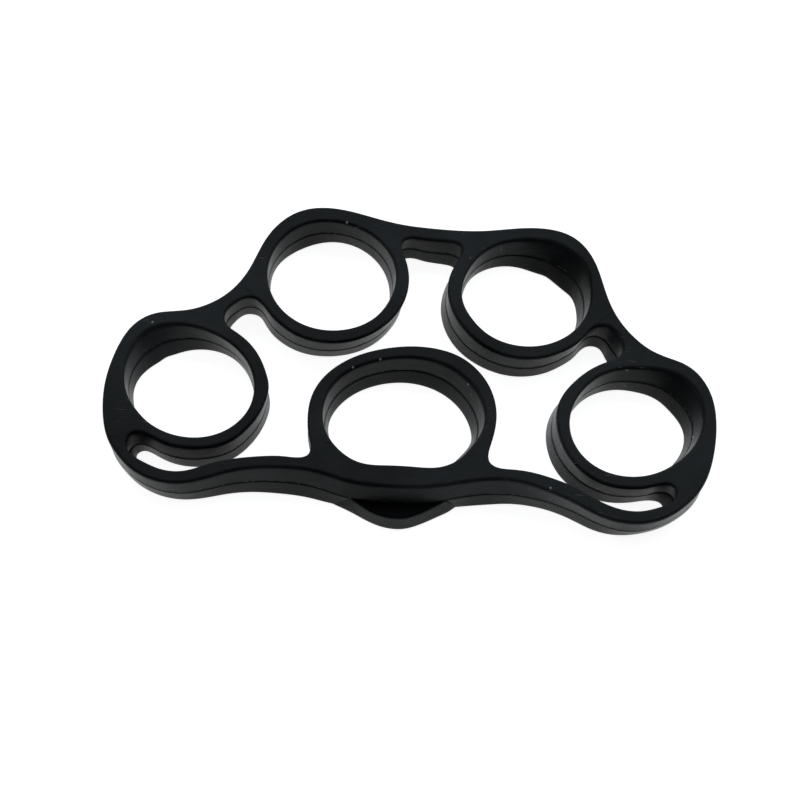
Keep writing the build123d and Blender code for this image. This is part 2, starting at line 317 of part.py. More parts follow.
# finger hole 4 (far right)
HOLE_4_TOP = [
    (32.28, -12.27), (32.75, -15.06), (33.85, -17.73), (35.51, -20.12), (37.63, -22.07), (40.16, -23.46),
    (43.05, -24.20), (46.15, -24.24), (49.23, -23.55), (52.12, -22.17), (54.66, -20.16), (56.72, -17.61),
    (58.20, -14.67), (59.03, -11.48), (59.14, -8.29), (58.54, -5.26), (57.24, -2.56), (55.38, -0.33),
    (53.10, 1.25), (50.57, 2.08), (47.75, 2.27), (44.27, 2.02), (40.98, 1.35), (38.45, 0.13), (36.39, -1.63),
    (34.64, -3.91), (33.27, -6.59), (32.46, -9.43),
]
HOLE_4_MID = [
    (31.66, -12.30), (32.22, -15.21), (33.47, -17.93), (35.32, -20.28), (37.61, -22.09), (40.24, -23.26),
    (43.11, -23.72), (46.07, -23.49), (48.90, -22.59), (51.44, -21.09), (53.59, -19.09), (55.27, -16.68),
    (56.40, -13.99), (56.91, -11.18), (56.74, -8.48), (55.98, -6.12), (54.80, -4.13), (53.39, -2.49),
    (51.89, -1.16), (50.16, -0.05), (47.75, 0.75), (44.39, 1.08), (41.14, 0.83), (38.55, -0.04), (36.31, -1.57),
    (34.33, -3.71), (32.78, -6.40), (31.86, -9.33),
]
HOLE_4_BASE = [
    (30.77, -12.34), (31.60, -15.37), (33.18, -18.06), (35.35, -20.21), (37.87, -21.67), (40.56, -22.36),
    (43.26, -22.36), (45.88, -21.84), (48.29, -20.86), (50.42, -19.48), (52.25, -17.74), (53.72, -15.68),
    (54.74, -13.37), (55.27, -10.94), (55.29, -8.60), (54.87, -6.49), (54.09, -4.57), (53.05, -2.84),
    (51.78, -1.30), (50.11, -0.03), (47.73, 0.77), (44.37, 1.14), (40.98, 1.21), (38.09, 0.60), (35.56, -0.87),
    (33.40, -3.13), (31.75, -5.99), (30.83, -9.15),
]
HOLE_4_PAR = [
    0.00000, 0.03347, 0.06761, 0.10207, 0.13623, 0.17047, 0.20580, 0.24251, 0.27995, 0.31781, 0.35618, 0.39498,
    0.43407, 0.47301, 0.51090, 0.54741, 0.58297, 0.61742, 0.65024, 0.68185, 0.71531, 0.75647, 0.79630, 0.82959,
    0.86167, 0.89563, 0.93129, 0.96632,
]

# D-shaped thumb hole
THUMB_TOP = [
    (-16.72, -15.75), (-16.00, -18.52), (-14.69, -21.16), (-12.91, -23.48), (-10.84, -25.30), (-8.56, -26.54),
    (-5.99, -27.14), (-2.83, -27.08), (1.27, -26.84), (4.96, -26.76), (7.62, -26.37), (9.85, -25.38),
    (11.77, -23.71), (13.48, -21.21), (15.08, -18.14), (15.91, -15.40), (15.93, -12.76), (15.26, -10.10),
    (13.95, -7.46), (12.04, -5.00), (9.66, -2.92), (6.96, -1.36), (4.02, -0.39), (0.91, 0.00), (-2.26, -0.17),
    (-5.40, -0.85), (-8.48, -2.00), (-11.31, -3.57), (-13.61, -5.49), (-15.28, -7.72), (-16.35, -10.24),
    (-16.83, -12.96),
]
THUMB_MID = [
    (-16.44, -15.71), (-15.90, -18.49), (-14.74, -21.20), (-13.05, -23.62), (-11.00, -25.54), (-8.68, -26.85),
    (-6.02, -27.45), (-2.81, -27.33), (1.28, -27.06), (4.97, -26.93), (7.62, -26.38), (9.71, -25.17),
    (11.35, -23.35), (12.75, -20.79), (14.08, -17.72), (14.54, -15.21), (14.33, -12.96), (13.65, -10.70),
    (12.47, -8.39), (10.82, -6.15), (8.79, -4.13), (6.46, -2.49), (3.80, -1.35), (0.88, -0.74), (-2.18, -0.76),
    (-5.25, -1.37), (-8.25, -2.50), (-10.97, -4.06), (-13.13, -5.94), (-14.69, -8.06), (-15.76, -10.42),
    (-16.36, -13.00),
]
THUMB_BASE = [
    (-15.66, -15.58), (-14.84, -18.08), (-13.47, -20.39), (-11.69, -22.32), (-9.73, -23.67), (-7.76, -24.38),
    (-5.72, -24.49), (-3.00, -24.18), (1.18, -23.92), (4.72, -23.78), (6.69, -23.29), (8.00, -22.47),
    (9.10, -21.31), (10.35, -19.36), (11.75, -16.76), (12.44, -14.88), (12.58, -13.15), (12.24, -11.20),
    (11.35, -9.08), (9.93, -6.97), (8.10, -5.08), (5.99, -3.52), (3.57, -2.35), (0.84, -1.65), (-2.09, -1.48),
    (-5.10, -1.89), (-8.07, -2.88), (-10.78, -4.34), (-12.94, -6.12), (-14.50, -8.18), (-15.47, -10.50),
    (-15.87, -13.02),
]
THUMB_PAR = [
    0.00000, 0.02994, 0.06077, 0.09136, 0.12017, 0.14730, 0.17492, 0.20795, 0.25084, 0.28938, 0.31749, 0.34307,
    0.36968, 0.40132, 0.43747, 0.46743, 0.49507, 0.52378, 0.55461, 0.58718, 0.62019, 0.65276, 0.68518, 0.71794,
    0.75106, 0.78469, 0.81899, 0.85279, 0.88413, 0.91334, 0.94197, 0.97080,
]

OUTLINE = {
    "OUTER": (OUTER_BASE, OUTER_MID, OUTER_TOP, OUTER_PAR),
    "INNER": (INNER_BASE, INNER_MID, INNER_TOP, INNER_PAR),
    "HOLE_1": (HOLE_1_BASE, HOLE_1_MID, HOLE_1_TOP, HOLE_1_PAR),
    "HOLE_2": (HOLE_2_BASE, HOLE_2_MID, HOLE_2_TOP, HOLE_2_PAR),
    "HOLE_3": (HOLE_3_BASE, HOLE_3_MID, HOLE_3_TOP, HOLE_3_PAR),
    "HOLE_4": (HOLE_4_BASE, HOLE_4_MID, HOLE_4_TOP, HOLE_4_PAR),
    "THUMB": (THUMB_BASE, THUMB_MID, THUMB_TOP, THUMB_PAR),
}


# ---------------------------------------------------------------- helpers
def spline_through(points, params):
    """Periodic cubic through the points: returns a function of u in 0..1."""
    n = len(points)
    us = list(params) + [1.0]
    h = [us[i + 1] - us[i] for i in range(n)]
    slopes = []
    for axis in (0, 1):
        p = [q[axis] for q in points]
        # slopes at the points, by relaxation of the continuity of curvature
        m = [(p[(i + 1) % n] - p[i - 1]) / (h[i] + h[i - 1]) for i in range(n)]
        for _ in range(60):
            for i in range(n):
                a, b = h[i - 1], h[i]
                right = 3 * ((p[(i + 1) % n] - p[i]) * a / b + (p[i] - p[i - 1]) * b / a)
                m[i] = (right - b * m[i - 1] - a * m[(i + 1) % n]) / (2 * (a + b))
        slopes.append(m)

    def at(u):
        u = u % 1.0
        lo, hi = 0, n - 1
        while lo < hi:
            k = (lo + hi + 1) // 2
            if us[k] <= u:
                lo = k
            else:
                hi = k - 1
        i, j = lo, (lo + 1) % n
        t = (u - us[i]) / h[i]
        a = (1 + 2 * t) * (1 - t) ** 2
        b = t * (1 - t) ** 2 * h[i]
        c = t * t * (3 - 2 * t)
        d = t * t * (t - 1) * h[i]
        return tuple(
            a * points[i][k] + b * slopes[k][i] + c * points[j][k] + d * slopes[k][j]
            for k in (0, 1)
        )

    return at


CURVE = {
    name: [spline_through(points, data[3]) for points in data[:3]]
    for name, data in OUTLINE.items()
}


def side_of(cut, level, sign):
    """Signed distance to a cut at one level; a flexing root opens as a V."""
    if cut[:2] in ARM_AXIS:
        (ax, ay), (bx, by) = ARM_AXIS[cut[:2]]
        length = math.hypot(bx - ax, by - ay)
        nx, ny = (by - ay) / length, -(bx - ax) / length
        rise = abs(LEVELS[level] - THICK / 2)
        shift = sign * (FLEX_GAP + rise * math.tan(math.radians(FLEX_DEG / 2)))
        return lambda q: (q[0] - ax) * nx + (q[1] - ay) * ny - shift
    (px, py), (dx, dy) = CUT[cut]
    return lambda q: (q[0] - px) * dy - (q[1] - py) * dx


def crossing(name, cut, level, sign):
    """Parameter at which an outline crosses a cut, nearest its station."""
    curve, f = CURVE[name][level], side_of(cut, level, sign)
    sx, sy = STATION[name][cut]
    steps = 1500
    best, best_u = 1e9, 0.0
    last = f(curve(0.0))
    for i in range(steps):
        now = f(curve((i + 1) / steps))
        if last * now <= 0:
            lo, hi = i / steps, (i + 1) / steps
            for _ in range(40):
                mid = (lo + hi) / 2
                if f(curve(lo)) * f(curve(mid)) <= 0:
                    hi = mid
                else:
                    lo = mid
            q = curve(lo)
            gap = math.hypot(q[0] - sx, q[1] - sy)
            if gap < best:
                best, best_u = gap, lo
        last = now
    return best_u


def stretch(name, start, end, forward, sign):
    """The part of an outline between two cuts, at all three levels."""
    par = OUTLINE[name][3]
    u0 = [crossing(name, start, k, sign) for k in range(3)]
    u1 = [crossing(name, end, k, sign) for k in range(3)]
    for k in range(3):
        if forward and u1[k] < u0[k]:
            u1[k] += 1
        if not forward and u1[k] > u0[k]:
            u1[k] -= 1
    inside = sorted(
        (p + turn - u0[2]) / (u1[2] - u0[2])
        for p in par
        for turn in (-1, 0, 1)
        if 0 < (p + turn - u0[2]) / (u1[2] - u0[2]) < 1
    )
    length = abs(u1[2] - u0[2])
    inside = [s for s in inside if 0.0015 < s * length and (1 - s) * length > 0.0015]
    share = [0.0] + inside + [1.0]
    if len(share) < 4:
        share = [0.0, 1 / 3, 2 / 3, 1.0]
    return [
        ([CURVE[name][k](u0[k] + s * (u1[k] - u0[k])) for s in share], share)
        for k in range(3)
    ]


def profiles(*segments, sign=-1):
    """Closed boundaries of a region at the three levels.

    Every segment is (outline, from cut, to cut, forward); straight lines in
    the cuts join one segment to the next.
    """
    runs = [stretch(*segment, sign) for segment in segments]
    levels = []
    for k in range(3):
        edges = []
        for i, run in enumerate(runs):
            points, share = run[k]
            following = runs[(i + 1) % len(runs)][k][0]
            edges.append(
                Edge.make_spline([Vector(x, y) for x, y in points], parameters=share)
            )
            edges.append(Edge.make_line(Vector(*points[-1]), Vector(*following[0])))
        levels.append(edges)
    return levels


def rims(solid):
    """The curved edges round the upper face and the underside."""
    return [
        e
        for e in solid.edges().filter_by(GeomType.BSPLINE)
        if abs(e.center().Z) < 0.01 or abs(e.center().Z - THICK) < 0.01
    ]


# Free half of finger ring 1, the far left one
FINGER_RING_1 = profiles(
    ("INNER", "A1a", "A1b", False),
    ("HOLE_1", "A1b", "A1a", False),
    sign=1,
)
with BuildPart() as finger_ring_1:
    for z, boundary in zip(LEVELS, FINGER_RING_1):
        with BuildSketch(Plane.XY.offset(z)):
            with BuildLine():
                add(boundary)
            make_face()
    loft(ruled=True)
    fillet(rims(finger_ring_1.part), radius=EDGE_RADIUS)

# Free half of finger ring 2
FINGER_RING_2 = profiles(
    ("INNER", "A2a", "A2b", False),
    ("HOLE_2", "A2b", "A2a", False),
    sign=1,
)
with BuildPart() as finger_ring_2:
    for z, boundary in zip(LEVELS, FINGER_RING_2):
        with BuildSketch(Plane.XY.offset(z)):
            with BuildLine():
                add(boundary)
            make_face()
    loft(ruled=True)
    fillet(rims(finger_ring_2.part), radius=EDGE_RADIUS)

# Free half of finger ring 3
FINGER_RING_3 = profiles(
    ("INNER", "A3a", "A3b", False),
    ("HOLE_3", "A3b", "A3a", False),
    sign=1,
)
with BuildPart() as finger_ring_3:
    for z, boundary in zip(LEVELS, FINGER_RING_3):
        with BuildSketch(Plane.XY.offset(z)):
            with BuildLine():
                add(boundary)
            make_face()
    loft(ruled=True)
    fillet(rims(finger_ring_3.part), radius=EDGE_RADIUS)

# Free half of finger ring 4, the far right one
FINGER_RING_4 = profiles(
    ("INNER", "A4a", "A4b", False),
    ("HOLE_4", "A4b", "A4a", False),
    sign=1,
)
with BuildPart() as finger_ring_4:
    for z, boundary in zip(LEVELS, FINGER_RING_4):
        with BuildSketch(Plane.XY.offset(z)):
            with BuildLine():
                add(boundary)
            make_face()
    loft(ruled=True)
    fillet(rims(finger_ring_4.part), radius=EDGE_RADIUS)

# Arch of the D-shaped thumb ring
THUMB_RING = profiles(
    ("INNER", "ATa", "ATb", False),
    ("THUMB", "ATb", "ATa", False),
    sign=1,
)
with BuildPart() as thumb_ring:
    for z, boundary in zip(LEVELS, THUMB_RING):
        with BuildSketch(Plane.XY.offset(z)):
            with BuildLine():
                add(boundary)
            make_face()
    loft(ruled=True)
    fillet(rims(thumb_ring.part), radius=EDGE_RADIUS)

# Straight side of the thumb ring and the middle of the strap
PALM_BRIDGE = profiles(
    ("OUTER", "C1L", "C1R", True),
    ("INNER", "C1R", "ATa", False),
    ("THUMB", "ATa", "ATb", False),
    ("INNER", "ATb", "C1L", False),
)
with BuildPart() as palm_bridge:
    for z, boundary in zip(LEVELS, PALM_BRIDGE):
        with BuildSketch(Plane.XY.offset(z)):
            with BuildLine():
                add(boundary)
            make_face()
    loft(ruled=True)
    fillet(rims(palm_bridge.part), radius=EDGE_RADIUS)

# Left strap, between the palm bridge and the left end loop
STRAP_LEFT = profiles(
    ("OUTER", "C2L", "C1L", True),
    ("INNER", "C1L", "C2L", False),
)
with BuildPart() as strap_left:
    for z, boundary in zip(LEVELS, STRAP_LEFT):
        with BuildSketch(Plane.XY.offset(z)):
            with BuildLine():
                add(boundary)
            make_face()
    loft(ruled=True)
    fillet(rims(strap_left.part), radius=EDGE_RADIUS)

# Right strap, between the palm bridge and the right end loop
STRAP_RIGHT = profiles(
    ("OUTER", "C1R", "C2R", True),
    ("INNER", "C2R", "C1R", False),
)
with BuildPart() as strap_right:
    for z, boundary in zip(LEVELS, STRAP_RIGHT):
        with BuildSketch(Plane.XY.offset(z)):
            with BuildLine():
                add(boundary)
            make_face()
    loft(ruled=True)
    fillet(rims(strap_right.part), radius=EDGE_RADIUS)

# Left end loop, round the closed end of the left slot
END_LOOP_LEFT = profiles(
    ("OUTER", "C3L", "C2L", True),
    ("INNER", "C2L", "A1a", False),
    ("HOLE_1", "A1a", "C3L", False),
)
with BuildPart() as end_loop_left:
    for z, boundary in zip(LEVELS, END_LOOP_LEFT):
        with BuildSketch(Plane.XY.offset(z)):
            with BuildLine():
                add(boundary)
            make_face()
    loft(ruled=True)
    fillet(rims(end_loop_left.part), radius=EDGE_RADIUS)

# Right end loop, round the closed end of the right slot
END_LOOP_RIGHT = profiles(
    ("OUTER", "C2R", "C3R", True),
    ("HOLE_4", "C3R", "A4b", False),
    ("INNER", "A4b", "C2R", False),
)
with BuildPart() as end_loop_right:
    for z, boundary in zip(LEVELS, END_LOOP_RIGHT):
        with BuildSketch(Plane.XY.offset(z)):
            with BuildLine():
                add(boundary)
            make_face()
    loft(ruled=True)
    fillet(rims(end_loop_right.part), radius=EDGE_RADIUS)

# Outer half of finger ring 1, part of the outer band
OUTER_BAND_1 = profiles(
    ("OUTER", "C4L", "C3L", True),
    ("HOLE_1", "C3L", "A1b", False),
    ("INNER", "A1b", "C4L", False),
)
with BuildPart() as outer_band_1:
    for z, boundary in zip(LEVELS, OUTER_BAND_1):
        with BuildSketch(Plane.XY.offset(z)):
            with BuildLine():
                add(boundary)
            make_face()
    loft(ruled=True)
    fillet(rims(outer_band_1.part), radius=EDGE_RADIUS)

# Neck of the band between rings 1 and 2, above the left notch
WEB_LEFT = profiles(
    ("OUTER", "C5L", "C4L", True),
    ("INNER", "C4L", "C5L", False),
)
with BuildPart() as web_left:
    for z, boundary in zip(LEVELS, WEB_LEFT):
        with BuildSketch(Plane.XY.offset(z)):
            with BuildLine():
                add(boundary)
            make_face()
    loft(ruled=True)
    fillet(rims(web_left.part), radius=EDGE_RADIUS)

# Outer half of finger ring 2, part of the outer band
OUTER_BAND_2 = profiles(
    ("OUTER", "C6L", "C5L", True),
    ("INNER", "C5L", "A2a", False),
    ("HOLE_2", "A2a", "C6L", False),
)
with BuildPart() as outer_band_2:
    for z, boundary in zip(LEVELS, OUTER_BAND_2):
        with BuildSketch(Plane.XY.offset(z)):
            with BuildLine():
                add(boundary)
            make_face()
    loft(ruled=True)
    fillet(rims(outer_band_2.part), radius=EDGE_RADIUS)

# Left half of the long centre web, with the shoulder of ring 2
WEB_CENTRE_LEFT = profiles(
    ("OUTER", "C7L", "C6L", True),
    ("HOLE_2", "C6L", "A2b", False),
    ("INNER", "A2b", "C7L", False),
)
with BuildPart() as web_centre_left:
    for z, boundary in zip(LEVELS, WEB_CENTRE_LEFT):
        with BuildSketch(Plane.XY.offset(z)):
            with BuildLine():
                add(boundary)
            make_face()
    loft(ruled=True)
    fillet(rims(web_centre_left.part), radius=EDGE_RADIUS)

# Right half of the long centre web, with the shoulder of ring 3
WEB_CENTRE_RIGHT = profiles(
    ("OUTER", "C6R", "C7R", True),
    ("INNER", "C7R", "A3a", False),
    ("HOLE_3", "A3a", "C6R", False),
)
with BuildPart() as web_centre_right:
    for z, boundary in zip(LEVELS, WEB_CENTRE_RIGHT):
        with BuildSketch(Plane.XY.offset(z)):
            with BuildLine():
                add(boundary)
            make_face()
    loft(ruled=True)
    fillet(rims(web_centre_right.part), radius=EDGE_RADIUS)

# Outer half of finger ring 3, part of the outer band
OUTER_BAND_3 = profiles(
    ("OUTER", "C5R", "C6R", True),
    ("HOLE_3", "C6R", "A3b", False),
    ("INNER", "A3b", "C5R", False),
)
with BuildPart() as outer_band_3:
    for z, boundary in zip(LEVELS, OUTER_BAND_3):
        with BuildSketch(Plane.XY.offset(z)):
            with BuildLine():
                add(boundary)
            make_face()
    loft(ruled=True)
    fillet(rims(outer_band_3.part), radius=EDGE_RADIUS)

# Neck of the band between rings 3 and 4, above the right notch
WEB_RIGHT = profiles(
    ("OUTER", "C4R", "C5R", True),
    ("INNER", "C5R", "C4R", False),
)
with BuildPart() as web_right:
    for z, boundary in zip(LEVELS, WEB_RIGHT):
        with BuildSketch(Plane.XY.offset(z)):
            with BuildLine():
                add(boundary)
            make_face()
    loft(ruled=True)
    fillet(rims(web_right.part), radius=EDGE_RADIUS)

# Outer half of finger ring 4, part of the outer band
OUTER_BAND_4 = profiles(
    ("OUTER", "C3R", "C4R", True),
    ("INNER", "C4R", "A4a", False),
    ("HOLE_4", "A4a", "C3R", False),
)
with BuildPart() as outer_band_4:
    for z, boundary in zip(LEVELS, OUTER_BAND_4):
        with BuildSketch(Plane.XY.offset(z)):
            with BuildLine():
                add(boundary)
            make_face()
    loft(ruled=True)
    fillet(rims(outer_band_4.part), radius=EDGE_RADIUS)

# Half-height lip in front of the palm bridge; its back follows the strap wall
with BuildPart() as grip_lip:
    with BuildSketch(Plane.XY):
        with BuildLine():
            Spline(*LIP_BASE)
            Polyline(LIP_BASE[-1], LIP_BACK[0], LIP_BACK[1], LIP_BASE[0])
        make_face()
    with BuildSketch(Plane.XY.offset(LIP_HEIGHT)):
        with BuildLine():
            Spline(*LIP_TOP)
            Polyline(LIP_TOP[-1], LIP_BACK[0], LIP_BACK[1], LIP_TOP[0])
        make_face()
    loft(ruled=True)
    fillet(
        [
            e
            for e in grip_lip.edges().filter_by(GeomType.BSPLINE)
            if abs(e.center().Z) < 0.01 or abs(e.center().Z - LIP_HEIGHT) < 0.01
        ],
        radius=LIP_RADIUS,
    )
    add(palm_bridge.part, mode=Mode.SUBTRACT)

# ---------------------------------------------------------------- output
finger_ring_1.part.label = "finger_ring_1"
finger_ring_2.part.label = "finger_ring_2"
finger_ring_3.part.label = "finger_ring_3"
finger_ring_4.part.label = "finger_ring_4"
thumb_ring.part.label = "thumb_ring"
palm_bridge.part.label = "palm_bridge"
grip_lip.part.label = "grip_lip"
strap_left.part.label = "strap_left"
strap_right.part.label = "strap_right"
end_loop_left.part.label = "end_loop_left"
end_loop_right.part.label = "end_loop_right"
outer_band_1.part.label = "outer_band_1"
web_left.part.label = "web_left"
outer_band_2.part.label = "outer_band_2"
web_centre_left.part.label = "web_centre_left"
web_centre_right.part.label = "web_centre_right"
outer_band_3.part.label = "outer_band_3"
web_right.part.label = "web_right"
outer_band_4.part.label = "outer_band_4"

export_step(finger_ring_1.part, "parts/finger_ring_1.step")
export_step(finger_ring_2.part, "parts/finger_ring_2.step")
export_step(finger_ring_3.part, "parts/finger_ring_3.step")
export_step(finger_ring_4.part, "parts/finger_ring_4.step")
export_step(thumb_ring.part, "parts/thumb_ring.step")
export_step(palm_bridge.part, "parts/palm_bridge.step")
export_step(grip_lip.part, "parts/grip_lip.step")
export_step(strap_left.part, "parts/strap_left.step")
export_step(strap_right.part, "parts/strap_right.step")
export_step(end_loop_left.part, "parts/end_loop_left.step")
export_step(end_loop_right.part, "parts/end_loop_right.step")
export_step(outer_band_1.part, "parts/outer_band_1.step")
export_step(web_left.part, "parts/web_left.step")
export_step(outer_band_2.part, "parts/outer_band_2.step")
export_step(web_centre_left.part, "parts/web_centre_left.step")
export_step(web_centre_right.part, "parts/web_centre_right.step")
export_step(outer_band_3.part, "parts/outer_band_3.step")
export_step(web_right.part, "parts/web_right.step")
export_step(outer_band_4.part, "parts/outer_band_4.step")
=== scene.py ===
import math
import bpy
import bmesh
import numpy as np
from mathutils import Vector, Matrix


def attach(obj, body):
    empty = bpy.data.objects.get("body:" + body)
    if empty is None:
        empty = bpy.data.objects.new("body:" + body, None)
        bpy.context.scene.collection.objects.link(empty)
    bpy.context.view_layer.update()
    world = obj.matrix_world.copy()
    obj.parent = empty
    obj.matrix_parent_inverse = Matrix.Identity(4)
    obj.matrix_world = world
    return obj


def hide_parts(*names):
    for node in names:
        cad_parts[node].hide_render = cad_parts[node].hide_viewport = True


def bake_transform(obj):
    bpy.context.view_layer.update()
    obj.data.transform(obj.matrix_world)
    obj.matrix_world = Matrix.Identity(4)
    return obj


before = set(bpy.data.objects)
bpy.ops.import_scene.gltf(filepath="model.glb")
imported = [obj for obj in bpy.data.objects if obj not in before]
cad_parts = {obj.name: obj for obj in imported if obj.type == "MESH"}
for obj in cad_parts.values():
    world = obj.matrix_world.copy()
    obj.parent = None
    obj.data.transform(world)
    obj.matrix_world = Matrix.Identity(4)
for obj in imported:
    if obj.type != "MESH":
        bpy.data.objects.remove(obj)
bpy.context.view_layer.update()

# ------------------------------------------------------------------ dimensions (mm)
THICK, PARTING = 7.5, 3.75
EDGE_R = 0.62          # rounding of the rims
FLASH = 0.10           # how far the parting flash stands out
STEP = 0.40            # spacing of the skin's points along an outline

ARM_AXIS = {
    "A1": ((-50.4, -22.81), (-37.4, 1.19)),
    "A2": ((-31.6, 11.19), (-6.7, 25.69)),
    "A3": ((7.1, 25.89), (32.4, 10.59)),
    "A4": ((37.9, 1.29), (50.3, -23.71)),
    "AT": ((16.1, -22.31), (-16.9, -22.31)),
}
CUT = {
    "C1L": ((-21.9, -28.31), (0, 1)), "C1R": ((22.1, -28.31), (0, 1)),
    "C2L": ((-37.9, -32.31), (0, 1)), "C2R": ((38.1, -31.31), (0, 1)),
    "C4L": ((-41.2, 8.99), (0.73, -0.68)), "C4R": ((39.4, 5.69), (0.73, 0.68)),
    "C5L": ((-34.9, 11.49), (-0.68, 0.735)), "C5R": ((35.9, 11.09), (0.61, 0.79)),
    "C7L": ((0.0994, 27.69), (0, 1)), "C7R": ((0.1006, 27.69), (0, 1)),
}
STATION = {
    "OUTER": {
        "C1L": (-21.9, -29.81), "C1R": (22.1, -27.81), "C2L": (-37.9, -33.31), "C2R": (38.1, -32.81),
        "C4L": (-42.9, 10.19), "C5L": (-38.2, 15.09), "C7L": (0.1, 32.69), "C7R": (0.1, 32.69), "C5R": (39, 15.69), "C4R": (44.1, 9.09),
    },
    "INNER": {
        "C1L": (-21.9, -26.81), "C1R": (22.1, -25.31), "C2L": (-37.9, -30.31), "C2R": (38.1, -29.31),
        "C4L": (-39.7, 7.69), "C5L": (-35.2, 11.79), "C7L": (0.1, 30.09), "C7R": (0.1, 30.09), "C5R": (36.1, 11.69), "C4R": (40.6, 6.69),
        "A1a": (-51.4, -24.31), "A1b": (-36.9, 2.19), "A2a": (-32.2, 10.59), "A2b": (-5.9, 26.19),
        "A3a": (6.1, 26.49), "A3b": (33.4, 9.89), "A4a": (37.4, 2.49), "A4b": (50.8, -25.01),
        "ATa": (17.1, -22.31), "ATb": (-17.6, -22.31),
    },
    "HOLE_1": {"A1a": (-49.7, -21.31), "A1b": (-37.9, -0.01)},
    "HOLE_2": {"A2a": (-30.9, 11.99), "A2b": (-7.5, 24.99)},
    "HOLE_3": {"A3a": (8.6, 24.99), "A3b": (32.1, 11.09)},
    "HOLE_4": {"A4a": (38.4, 0.29), "A4b": (49.6, -23.31)},
    "THUMB": {"ATa": (12.6, -22.31), "ATb": (-14.1, -22.31)},
}
LIP_BASE = [(-13.5, -32.01), (-11.5, -32.81), (-9.5, -33.61), (-7.4, -34.61), (-5.1, -35.71), (-2.5, -36.61), (-0.1, -36.91), (2.2, -36.66), (4.5, -35.71), (6.8, -34.31), (8.8, -32.96), (10.5, -31.76), (12, -30.21)]
LIP_TOP = [(-9.8, -31.91), (-7.9, -33.21), (-6.5, -34.21), (-4.9, -35.21), (-3.3, -35.91), (-1.7, -36.31), (-0.1, -36.46), (1.4, -36.41), (2.9, -36.06), (4.6, -35.21), (6.3, -34.11), (7.9, -32.91), (9.7, -31.51)]
LIP_BACK = ((8.6, -28.81), (-8.4, -28.81))

# ------------------------------------------------------------------ outlines (mm)

# outer edge of the band and strap
OUTER_TOP = [
    (-58.25, -26.26), (-55.74, -29.65), (-52.65, -32.54), (-49.25, -34.33), (-45.63, -35.18), (-41.94, -35.01),
    (-38.10, -33.78), (-33.65, -31.70), (-28.90, -30.13), (-24.12, -29.43), (-18.78, -29.24), (-14.32, -29.90),
    (-9.54, -31.11), (-4.67, -31.56), (1.31, -31.44), (6.71, -30.82), (12.06, -29.40), (17.37, -28.04),
    (21.89, -27.58), (25.91, -28.12), (30.51, -29.61), (34.94, -31.44), (39.02, -33.51), (42.66, -34.79),
    (46.46, -35.18), (50.12, -34.61), (53.39, -33.08), (56.28, -30.56), (58.80, -27.22), (60.39, -23.65),
    (61.33, -19.55), (61.77, -14.61), (61.59, -9.20), (60.74, -4.58), (59.18, -0.86), (57.00, 2.09),
    (54.20, 4.14), (50.91, 5.33), (47.40, 6.82), (44.33, 9.14), (41.47, 12.27), (39.07, 16.01), (37.12, 20.54),
    (35.13, 26.05), (33.04, 30.09), (30.59, 32.94), (27.69, 34.74), (24.35, 35.56), (20.58, 35.60),
    (16.09, 34.92), (10.57, 33.81), (5.23, 33.33), (-0.87, 33.33), (-6.60, 33.71), (-12.01, 34.76),
    (-17.87, 36.12), (-22.33, 36.55), (-25.99, 36.08), (-29.11, 34.67), (-31.70, 32.29), (-33.80, 28.96),
    (-35.33, 24.67), (-36.70, 19.33), (-38.44, 15.09), (-40.74, 11.79), (-43.62, 9.27), (-47.01, 7.51),
    (-50.94, 6.59), (-54.32, 5.69), (-57.00, 3.85), (-58.98, 1.05), (-60.30, -2.75), (-61.20, -7.73),
    (-61.46, -12.88), (-60.95, -17.87), (-59.82, -22.61),
]
OUTER_MID = [
    (-57.81, -25.99), (-55.36, -29.31), (-52.39, -32.19), (-49.12, -34.01), (-45.60, -34.92), (-41.95, -34.92),
    (-38.07, -33.86), (-33.54, -32.02), (-28.74, -30.76), (-24.06, -30.27), (-18.82, -30.32), (-14.61, -31.12),
    (-9.80, -32.49), (-4.69, -32.93), (1.38, -32.62), (6.94, -31.99), (12.34, -30.31), (17.52, -28.91),
    (21.89, -28.50), (25.74, -28.78), (30.50, -29.67), (35.08, -31.18), (39.20, -33.10), (42.77, -34.34),
    (46.44, -34.66), (49.89, -33.89), (52.85, -32.29), (55.56, -29.91), (57.99, -26.74), (59.37, -23.32),
    (59.98, -19.36), (60.02, -14.58), (59.55, -9.39), (58.61, -5.18), (57.23, -1.98), (55.47, 0.52),
    (53.32, 2.41), (50.33, 3.74), (46.40, 5.16), (42.84, 7.54), (39.62, 10.86), (36.94, 14.89), (34.84, 19.72),
    (32.84, 25.11), (30.94, 28.69), (28.98, 31.07), (26.84, 32.70), (24.15, 33.75), (20.71, 34.11),
    (16.35, 33.67), (10.75, 32.61), (5.27, 32.10), (-0.90, 32.17), (-6.73, 32.67), (-12.22, 33.86),
    (-18.00, 35.35), (-22.32, 35.84), (-25.80, 35.38), (-28.70, 34.04), (-31.12, 31.79), (-33.13, 28.63),
    (-34.70, 24.49), (-36.23, 19.18), (-38.09, 14.90), (-40.48, 11.56), (-43.45, 9.03), (-46.94, 7.35),
    (-50.90, 6.40), (-54.12, 5.25), (-56.43, 3.28), (-58.06, 0.57), (-59.23, -3.03), (-60.11, -7.87),
    (-60.45, -12.85), (-60.11, -17.74), (-59.17, -22.40),
]
